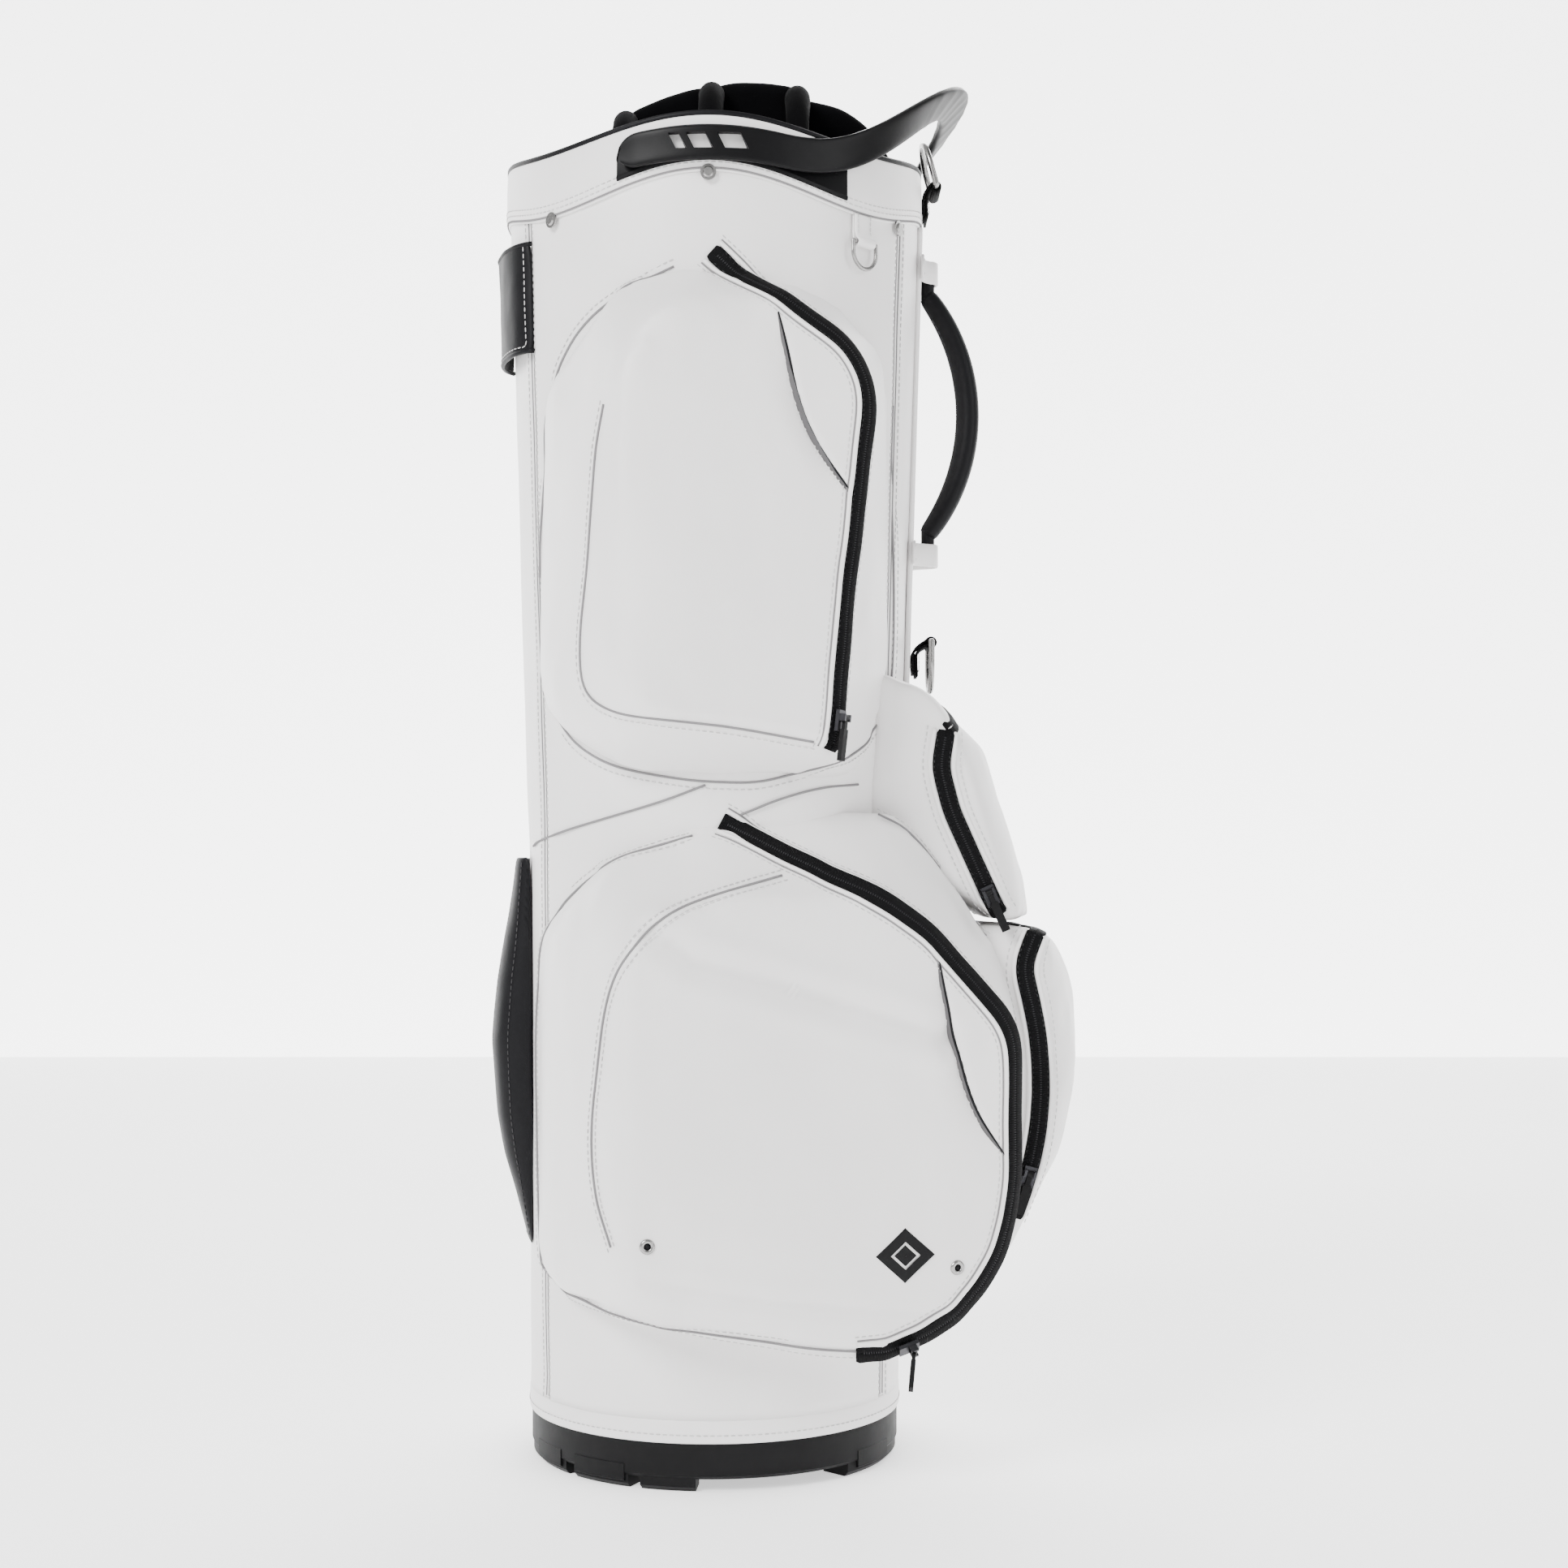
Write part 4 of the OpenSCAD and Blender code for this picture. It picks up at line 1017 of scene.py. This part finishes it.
def make_lower_pocket():
    run = rounded_run(LOWER_FLAT, 3, 5) + [Vector((58, 369))]
    zip_line = refined(*bevel_path(run, LOWER_FACE, LOWER_TIP))
    front = -LOWER_FACE - 4
    inner = on_face(front, ((6, 376), (-39, 364), (-68, 352), (-88, 333), (-98, 312), (-103, 272), (-106, 225),
                            (-104, 187), (-98, 158)))
    outer = [Vector(p) for p in ((-10, -125, 400), (-53, -110, 385), (-81, -91, 369), (-100, -69, 344),
                                 (-112, -46, 290), (-112, -46, 209), (-109, -54, 142), (-101, -67, 123))]
    outer += [turned(*p) for p in ((-95, -150, 112), (-54, -160, 107), (-10, -162, 100), (22, -162, 94),
                                   (60, -162, 90))]
    belly = [Vector(p) for p in ((108, -93, 414), (122, -86, 405), (139, -80, 389), (161, -77, 364),
                                 (172, -77, 338))]
    low_crease = on_face(front, ((-80, 139), (-54, 132), (-5, 123), (55, 115), (102, 109)))
    crease = on_face(front, ((-78, 345), (-52, 325), (0, 311), (55, 294), (104, 278)))
    slit = on_face(front, ((99, 330), (105, 303), (112, 272), (124, 235), (143, 205)))
    form = hull_mesh(["lower_gusset_near", "lower_panel_near"])
    mesh = padded_mesh("lower_pocket", form, ([zip_line[0], inner, belly], 9), 11)
    press_seams(mesh, [inner], 3.4, 2.6)
    press_seams(mesh, [belly, outer], 3.2, 1.8)
    press_seams(mesh, [low_crease], 5, 1.5)
    press_seams(mesh, [crease], 7, 3.0)
    sink_beside(mesh, slit, 20, 6.5)
    ripple(mesh, 2.2, 60, (1, 1, 0.6))
    ripple(mesh, 0.8, 21, (1, 1, 0.7))
    surface = finish_side_pocket("lower", mesh, zip_line, 1.2, [(inner, FACE), (outer, None), (belly, None)], True,
                                 slit)
    make_emblem(surface)
    for k, (x, z) in enumerate(((-80, 160), (112, 139))):
        make_eyelet(f"eyelet_{k}", x, z, surface, ["pocket_eyelets"] if k == 0 else [])


def make_upper_pocket():
    run = [Vector((39.9, 451))] + rounded_run(UPPER_FLAT, 2, 2) + [Vector((14, 720))]
    zip_line = refined(*bevel_path(run, UPPER_FACE, UPPER_TIP))
    front = -UPPER_FACE - 4
    inner = on_face(front, ((-100, 655), (-104, 622), (-108, 555), (-110, 517), (-107, 489), (-96, 475),
                            (-76, 469), (-27, 464), (24, 456)))
    outer = [Vector(p) for p in ((-21, -131, 744), (-46, -124, 733), (-72, -110, 719), (-88, -97, 702),
                                 (-98, -86, 679), (-104, -75, 620), (-107, -68, 570), (-108, -64, 504),
                                 (-100, -74, 483), (-86, -89, 461), (-62, -106, 445), (-31, -119, 437),
                                 (4, -123, 433), (40, -118, 435), (83, -92, 453), (101, -72, 467), (110, -59, 484),
                                 (114, -52, 505), (115, -54, 572), (114, -62, 674))]
    slit = on_face(front, ((2, 712), (8, 690), (15, 662), (26, 637), (51, 602)))
    form = hull_mesh(["upper_gusset_near", "upper_panel_near"])
    mesh = padded_mesh("upper_pocket", form, ([zip_line[0], inner], 9), 9)
    press_seams(mesh, [inner], 3.4, 2.4)
    press_seams(mesh, [outer], 3.2, 1.6)
    sink_beside(mesh, slit, 20, 6.5)
    ripple(mesh, 2.0, 56, (1, 1, 0.6))
    ripple(mesh, 0.8, 20, (1, 1, 0.7))
    finish_side_pocket("upper", mesh, zip_line, 1.0, [(inner, FACE), (outer, None)], False, slit)


def trim_zip(name, path, normals, surface):
    """White piping on both sides of a zip, then a thin grey tube of painted shadow and a line of stitches."""
    def beside(away, lift):
        return [lay_on(shifted(path, normals, side * away), surface, lift, normals) for side in SIDES]

    sweeps(name + "_zip_piping", beside(7.2, 0.4), circle(1.5, 8), "white", mirror=True)
    sweeps(name + "_zip_shadow", beside(9.2, 0.1), circle(0.5, 6), "shadow", mirror=True)
    stitches(name + "_zip_stitches", [(*line, 0) for line in beside(11.5, 0.0)], mirror=True)


def make_slit(name, points, surface):
    """The mouth of a slip pocket: a dark crescent of painted shadow where it gapes, beside the bound edge of the
    panel in front.
    """
    path = smooth_path(points)
    aims = [FACE] * len(path)
    path, normals = lay_on(path, surface, 0.4, aims)
    gape = lambda t: 0.12 + math.sin(math.pi * min(1, max(0, t)))
    last = len(path) - 1
    ways = frames(path, normals)
    middle = [p + across * 2.4 * gape(i / last) for i, (p, (_, across, _)) in enumerate(zip(path, ways))]
    middle, _ = lay_on(middle, surface, 0.3, aims)
    # the crescent is painted shadow, widest where the mouth gapes most
    sweep(name + "_gap", middle, normals, flat_section(5.2, 1.2), "slit_shadow", taper=gape, mirror=True)
    sweep(name + "_line", path, normals, circle(0.9, 8), "black", taper=lambda t: 0.4 + 0.6 * gape(t), mirror=True)


def make_emblem(surface):
    """A plain moulded diamond badge, bent to the pocket's face: a rim round a smaller diamond."""
    bm = bmesh.new()
    corners = [Vector((-19, 0)), Vector((0, -17)), Vector((19, 0)), Vector((0, 17))]
    outline = [a.lerp(b, j / 10) for a, b in zip(corners, corners[1:] + corners[:1]) for j in range(10)]
    for scale, height, inner in ((1.0, 0.9, 0.5), (0.38, 1.3, 0.0)):
        rings = []
        for ring in (1.0, 0.94, 0.88, inner):
            spots = [q * scale * max(ring, 0.02) for q in outline]
            found = [surface.find_nearest(turned(78 + q.x, -LOWER_FACE - 6, 148 + q.y)) for q in spots]
            rings.append([bm.verts.new(spot + normal * (-0.3 if ring == 1.0 else height))
                          for spot, normal, _, _ in found])
        loft(bm, rings, caps=False)
    add_piece("emblem", mesh_of(bm, "emblem"), "tab", mirror=True, replaces=["emblem_patches"])


def make_eyelet(name, x, z, surface, replaces):
    """A pressed ring, (radius, height) in section, round a dark hole."""
    spot, normal, _, _ = surface.find_nearest(turned(x, -LOWER_FACE - 6, z))
    turn = normal.to_track_quat("Z", "Y").to_matrix()
    profile = ((1.9, -0.6), (1.9, 0.6), (2.4, 1.2), (3.4, 1.35), (4.3, 0.9), (4.7, -0.3))
    bm = bmesh.new()
    loft(bm, [[bm.verts.new(spot + turn @ Vector((a, b, height))) for a, b in circle(radius, 24)]
              for radius, height in profile], caps=False)
    sweep(name + "_hole", [spot - normal, spot + normal * 0.5], [turned(1, 0, 0)] * 2, circle(2.0, 16), "black",
          mirror=True)
    add_piece(name, mesh_of(bm, name), "nickel", mirror=True, replaces=replaces)


# ---------- front pockets ----------

# The front pockets' outline from the side, (x, z, corner radius), and the height of the gap between them.
FRONT_GAP_Z = 345
FRONT_EDGE = ((100, 84, 4), (146, 87, 30), (182, 128.5, 30), (223.5, 227.8, 223.5), (200.6, 318.5, 18),
              (210, 343, 2), (188, 346, 2), (155.5, 418, 29), (148.5, 445, 20), (152.5, 467, 3), (136, 494, 6),
              (100, 507, 3))


def front_zip_path(run):
    """The zip's middle line along the near edge of a front pocket."""
    insets = [outward(run, i) * TAPE_W / 2 for i in range(len(run))]
    return [Vector((p.x - n.x, -FRONT_HALF_W - 0.6, p.y - n.y)) for p, n in zip(run, insets)], [-Y_AXIS] * len(run)


def across_bag(path):
    """The same points on the far side."""
    return [Vector((p.x, -p.y, p.z)) for p in path]


def make_front_pocket(name, keep, run, top, nodes):
    """A front pocket, its zips up both sides and over the top, and the piping beside them."""
    edge, edge_normals = refined(*front_zip_path(run))
    form = hull_mesh(["front_gusset", nodes[0]], keep)
    mesh = padded_mesh(name, form, ([edge, across_bag(edge)], 8), 9)
    ripple(mesh, 1.5, 45)
    ripple(mesh, 0.6, 18)
    pocket = add_piece(name, mesh, "white", replaces=nodes)
    surface = surface_of(pocket)
    edge, edge_normals = lay_on(edge, surface, 0.5)
    make_zip(name + "_zip_near", edge, edge_normals, [])
    welts = [lay_on(shifted(edge, edge_normals, side * 7.4), surface, 0.4) for side in SIDES]
    sweeps(name + "_piping", welts, circle(1.5, 8), "white", mirror=True)
    stitches(name + "_stitches", [(*welt, side * 4.5) for side, welt in zip(SIDES, welts)], mirror=True)
    over = [edge[-1], edge[-1] + Vector((3, 8, 3)), Vector((top[0] - 2, -40, top[1] + 1))]
    over += [Vector((top[0], 0, top[1] + 2))] + across_bag(over[::-1])
    make_zip(name + "_zip_top", *lay_on(smooth_path(over), surface, 0.3), [], mirror=False)


def make_front():
    end, start = Vector((155.5, 418)), Vector((188, 346))
    upper_run = [start + (end - start).normalized() * 5] + rounded_run(FRONT_EDGE, 7, 8) + [Vector((152.5, 467))]
    lower_run = rounded_run(FRONT_EDGE, 3, 4) + [Vector((210, 343))]
    make_front_pocket("front_upper", lambda p: p.z > FRONT_GAP_Z, upper_run, (146, 480),
                      ["front_upper_panel", "front_upper_zip"])
    make_front_pocket("front_lower", lambda p: p.z < FRONT_GAP_Z, lower_run, (199, 344),
                      ["front_lower_panel", "front_lower_zip", "front_gusset"])


# ---------- back ----------

def shell_patch(name, middle, wide, heights, stand, replaces):
    """A curved leather patch that stands off the skin: stand(t, z) with t from -1 to 1 across it."""
    grid = []
    for i in range(29):
        t = i / 14 - 1
        angle = middle + wide / 2 * t
        grid.append([at(angle, skin_r(z) + stand(t, z), z) for z in heights]
                    + [at(angle, skin_r(z) + max(0.2, stand(t, z) - 2), z) for z in reversed(heights)])
    return add_piece(name, subdivided(column_loft(name, grid)), "black", replaces=replaces)


def patch_edge(middle, wide, low, high, stand, inset):
    """A run of stitches round three sides of a shell patch, inset from its edge."""
    t = 1 - inset / (math.radians(wide / 2) * WAIST_R)
    zs = [high - inset + (low - high + 2 * inset) * k / 30 for k in range(31)]
    ts = [-t + 2 * t * k / 20 for k in range(1, 20)]
    spots = [(-t, z) for z in zs] + [(s, low + inset) for s in ts] + [(t, z) for z in reversed(zs)]
    path = [at(middle + wide / 2 * s, skin_r(z) + stand(s, z), z) for s, z in spots]
    return path, [at(middle + wide / 2 * s, 1, 0) for s, z in spots], 0


def make_umbrella_sleeve():
    middle, wide, low, high = -163, 31, 706, 775

    def stand(t, z):
        return 2.2 + 7.2 * max(0, 1 - abs(t) ** 3) ** 0.8 + 0.5 * noise.noise(Vector((t * 3, z / 20, 4)))

    heights = [low + (high - low) * k / 16 for k in range(17)]
    shell_patch("umbrella_loop", middle, wide, heights, stand, ["umbrella_sleeve"])
    stitches("umbrella_loop_stitches", [patch_edge(middle, wide, low, high, stand, 4)])
    for z in (low + 1, high - 1):
        turns = [(k / 12 - 1, middle + wide / 2 * (k / 12 - 1)) for k in range(25)]
        sweep(f"umbrella_loop_edge_{z}", [at(angle, skin_r(z) + stand(t, z) - 0.8, z) for t, angle in turns],
              [at(angle, 1, 0) for t, angle in turns], circle(1.5, 8), "black")


def make_umbrella_pocket():
    middle, wide, low, high = 180, 34, 138, 388
    profile = ((low, 1), (150, 4), (168, 9), (195, 17), (220, 21.5), (268, 25), (310, 21), (350, 14), (375, 10.5),
               (high, 9))

    def reach(z):
        for (z0, r0), (z1, r1) in zip(profile, profile[1:]):
            if z <= z1:
                t = (z - z0) / (z1 - z0)
                return r0 + (r1 - r0) * (t * t * (3 - 2 * t) if z0 == low else t)
        return profile[-1][1]

    def stand(t, z):
        crumple = 0.8 * noise.noise(Vector((t * 2, z / 35, 7)))
        return 0.6 + (reach(z) - 0.6) * max(0, 1 - abs(t) ** 4) ** 0.6 + crumple

    heights = [low + (high - low) * k / 40 for k in range(41)]
    shell_patch("umbrella_well", middle, wide, heights, stand, ["umbrella_pocket"])
    stitches("umbrella_well_stitches", [patch_edge(middle, wide, low, high, stand, 5)], "dark_thread")


# ---------- webbing, rings and handles ----------

WINDOWS = ((-18.5, 6.5), (-5, 11.5), (15, 14))      # (middle x, width)
WINDOW_LEAN = 2.4
ARM_END, ARM_Z, ARM_T = 112, 812, 5
HANDLE_RISE, HANDLE_RAMP, HANDLE_REACH, HANDLE_TILT = 68, 70, 16, 45


def windowed_piece(name, bm, low, high, node):
    """A moulded piece with the leaning windows cut through it, from side to side of the bag."""
    work = linked("work", mesh_of(bm, name))
    bm = bmesh.new()
    for middle, width in WINDOWS:
        corners = [(middle - width / 2 + WINDOW_LEAN, low), (middle + width / 2 + WINDOW_LEAN, low),
                   (middle + width / 2 - WINDOW_LEAN, high), (middle - width / 2 - WINDOW_LEAN, high)]
        loft(bm, [[bm.verts.new((x, y, z)) for x, z in corners] for y in (-200, 200)])
    cutter = linked("cutter", mesh_of(bm, "cutter"))
    modify(work, "BOOLEAN", operation="DIFFERENCE", object=cutter, solver="EXACT")
    mesh = applied(work)
    bpy.data.objects.remove(cutter)
    sharpen(add_piece(name, mesh, "plastic", replaces=[node]))


def lift(angle):
    """1 at the front of the lift handle's loop, 0 beyond its ramp."""
    return 0.5 + 0.5 * math.cos(math.pi * angle / HANDLE_RAMP) if abs(angle) < HANDLE_RAMP else 0.0


def arm_height(angle):
    return ARM_Z + HANDLE_RISE * lift(angle) + 4 * math.cos(math.radians(4 * angle)) * (1 - lift(angle))


def squarish(value):
    """A sine or cosine filled out towards a square."""
    return math.copysign(abs(value) ** 0.55, value)


def make_lift_handle():
    """The moulded loop: a flat oval section that widens and leans out towards the grip, which has ribs."""
    bm = bmesh.new()
    rings = []
    for i in range(201):
        a = ARM_END * (i / 100 - 1)
        rise = lift(a)
        centre = at(a, BAND_R + 5.2 + HANDLE_REACH * rise, arm_height(a))
        tilt = math.radians(HANDLE_TILT * rise)
        up = at(a, math.sin(tilt), math.cos(tilt))
        out = at(a, math.cos(tilt), -math.sin(tilt))
        end = min(1, (ARM_END - abs(a)) / 4)
        width = (10.2 + 2.8 * rise) * (1 - 0.45 * (1 - end) ** 2)
        rib = 0.35 * max(0, math.cos(math.radians(a * 60))) if rise > 0.72 else 0
        thick = (ARM_T / 2 + 0.8 * rise + rib) * (0.75 + 0.25 * end)
        ring = []
        for k in range(28):
            t = math.tau * (k + 0.5) / 28
            w, d = squarish(math.sin(t)), squarish(math.cos(t))
            dish = 0.9 * (1 - w * w) if d > 0 else 0
            ring.append(bm.verts.new(centre + up * w * width + out * (d * thick - dish)))
        rings.append(ring)
    loft(bm, rings)
    windowed_piece("lift_loop", bm, 812.3, 821.7, "lift_handle")


def sharpen(thing, angle=35):
    """Keeps the edges sharper than an angle crisp under smooth shading."""
    bm = bmesh.new()
    bm.from_mesh(thing.data)
    for edge in bm.edges:
        edge.smooth = not (len(edge.link_faces) == 2 and edge.calc_face_angle() > math.radians(angle))
    bm.to_mesh(thing.data)
    bm.free()


def make_handle_plates():
    """The frame behind each arm: a thin curved plate with round corners and a raised lip."""
    start, end, columns = 52, 114, 90
    for side, name in ((-1, "handle_frame_near"), (1, "handle_frame_far")):
        bm = bmesh.new()
        grid = []
        for i in range(columns + 1):
            a = start + (end - start) * i / columns
            low = seam_height(a) + 4.6
            ease = max(0, min(1, (end - a) / 5.5))
            high = min(rim_height(a) - 0.5, arm_height(a) + 12.4) - 12 * (1 - math.sqrt(1 - (1 - ease) ** 2))
            lip = ((0.9, 0), (2.0, 0.6), (2.2, 2.2))
            outer = [(out, low + z) for out, z in lip] + [(1.6, low + 3.2), (1.5, high - 3.2)]
            outer += [(out, high - z) for out, z in lip[::-1]]
            grid.append([bm.verts.new(at(a * side, BAND_R + out, z)) for out, z in outer])
        loft(bm, grid)
        windowed_piece(name, bm, 811.5, 822.5, "handle_plates")


def wrap_points(bar, radius, start, end):
    """Points round a bar that runs along Y, from one angle to another about it, in degrees above +X."""
    turns = [math.radians(start + (end - start) * k / 14) for k in range(15)]
    return [bar + Vector((radius * math.cos(a), 0, radius * math.sin(a))) for a in turns]


def make_loop(name, bar, tail_x, drop, replaces):
    """Webbing folded round a ring's bar, its two tails sewn flat to the bag."""
    foot = bar.z - drop
    path = [Vector((tail_x + 1.4, 0, foot + 2)), Vector((tail_x + 1.4, 0, bar.z - 6))]
    path += wrap_points(bar, 3.1, 150, -150)
    path += [Vector((tail_x + 3.4, 0, bar.z - 7)), Vector((tail_x + 3.3, 0, foot))]
    path = smooth_path(path, 1.2)
    sweep(name, path, normals_about(path, Y_AXIS), flat_section(26, 1.7), "webbing", replaces=replaces)
    sewn = [Vector((tail_x + 4.7, y, z)) for y, z in
            ((-9, bar.z - 6), (9, bar.z - 6), (9, foot + 4), (-9, foot + 4), (-9, bar.z - 6))]
    box = [p for a, b in zip(sewn, sewn[1:]) for p in even([a, b], 1.0)[:-1]]
    stitches(name + "_stitches", [(box, [OUT] * len(box), 0)], "dark_thread", 3)


def make_webbing():
    make_loop("upper_loop", Vector((145, 0, 828)), BAND_R + 0.2, 20, ["strap_loops"])
    make_loop("lower_loop", Vector((142, 0, 529)), skin_r(529) + 3.6, 22, [])
    make_towel_tab()
    make_grab_handle()
    make_lift_handle()
    make_handle_plates()


def make_towel_tab():
    """The towel ring's webbing, folded round its bar and tucked under the collar's seam."""
    angle, bar_z = -46, 767
    turn = Matrix.Rotation(math.radians(angle), 3, "Z")
    bar = Vector((skin_r(770) + 4.4, 0, bar_z))
    back, top = skin_r(780), seam_height(angle)
    path = [Vector((back + 1.2, 0, top - 1)), Vector((back + 1.2, 0, bar_z + 6))]
    path += wrap_points(bar, 2.4, 200, 430)
    path += [Vector((back + 3.2, 0, bar_z + 7)), Vector((back + 3.0, 0, top - 1))]
    path = smooth_path(path, 1.0)
    normals = [turn @ n for n in normals_about(path, -Y_AXIS)]
    sweep("towel_loop", [turn @ p for p in path], normals, flat_section(15, 1.3), "white", replaces=["towel_tab"])
    runs = [even([turn @ Vector((back + 3.9, y, bar_z + 6)), turn @ Vector((back + 3.9, y, top - 2))], 1)
            for y in (-5.5, 5.5)]
    stitches("towel_loop_stitches", [(run, [turn @ OUT] * 60, 0) for run in runs], pitch=3)


GRAB_CENTRE = Vector((37.5, 0, 680))
GRAB_BEND, GRAB_HALF, GRAB_R = 130, 37.5, 7


def grab_point(angle):
    a = math.radians(angle)
    return GRAB_CENTRE + Vector((math.cos(a), 0, math.sin(a))) * GRAB_BEND


def make_grab_handle():
    """A padded leather tube on webbing, stitched along its inner side, between two sewn anchors."""
    path = [grab_point(GRAB_HALF * (k / 30 - 1)) for k in range(61)]
    normals = [(p - GRAB_CENTRE).normalized() for p in path]
    section = [(GRAB_R * 1.05 * math.cos(math.tau * k / 20),
                GRAB_R * 0.98 * math.sin(math.tau * k / 20) - (1.3 if abs(k - 15) < 2 else 0)) for k in range(20)]
    thick = lambda t: 0.72 + 0.3 * math.sin(math.pi * min(1, max(0, t))) ** 0.35
    grip = sweep("grab_grip", path, normals, section, "black", taper=thick, body="grab_handle",
                 replaces=["grab_handle"])
    seam = [p - n * GRAB_R * 0.95 for p, n in zip(path, normals)][6:-6]
    inward = [-n for n in normals[6:-6]]
    stitches("grab_stitches", [(seam, inward, side * 2.6) for side in SIDES], "dark_thread", body="grab_handle")
    for side, name in ((-1, "lower"), (1, "upper")):
        end = grab_point(side * GRAB_HALF)
        pin = smooth_path([end + UP * side * z for z in (-4, 4, 12, 16.4)], 2)
        sweep(f"grab_{name}_end", pin, [OUT] * len(pin), circle(4.4, 16), "black", body="grab_handle")
        make_anchor(f"anchor_{name}", end, side)


def make_anchor(name, end, side):
    """A leather box folded round the rolled end of the handle's webbing and sewn to the spine."""
    z = end.z + side * 14
    back = skin_r(z) + 3
    fold = [math.radians(a) for a in range(-80, 81, 16)]
    path = [Vector((back, y, z)) for y in (-24, -13)]
    path += [Vector((end.x + 5.9 * math.cos(a), 5.9 * math.sin(a), z)) for a in fold]
    path += [Vector((back, y, z)) for y in (13, 24)]
    path = smooth_path(path, 1.2)
    sweep(name, path, normals_about(path, UP), flat_section(15, 1.8), "white",
          replaces=["handle_anchors"] if side > 0 else [])
    runs = [([Vector((back + 1.1, y, z + e)) for y in (s * 14, s * 22)], [OUT] * 2, 0)
            for s in SIDES for e in (-4.5, 4.5)]
    stitches(name + "_stitches", runs, pitch=3)


add_camera()
add_stage()
make_tube()
make_divider()
make_lower_pocket()
make_upper_pocket()
make_front()
make_umbrella_sleeve()
make_umbrella_pocket()
make_webbing()
for thing, looks, body, replaces in list(near_pieces):
    copy = far_copy(thing, looks, body, replaces)
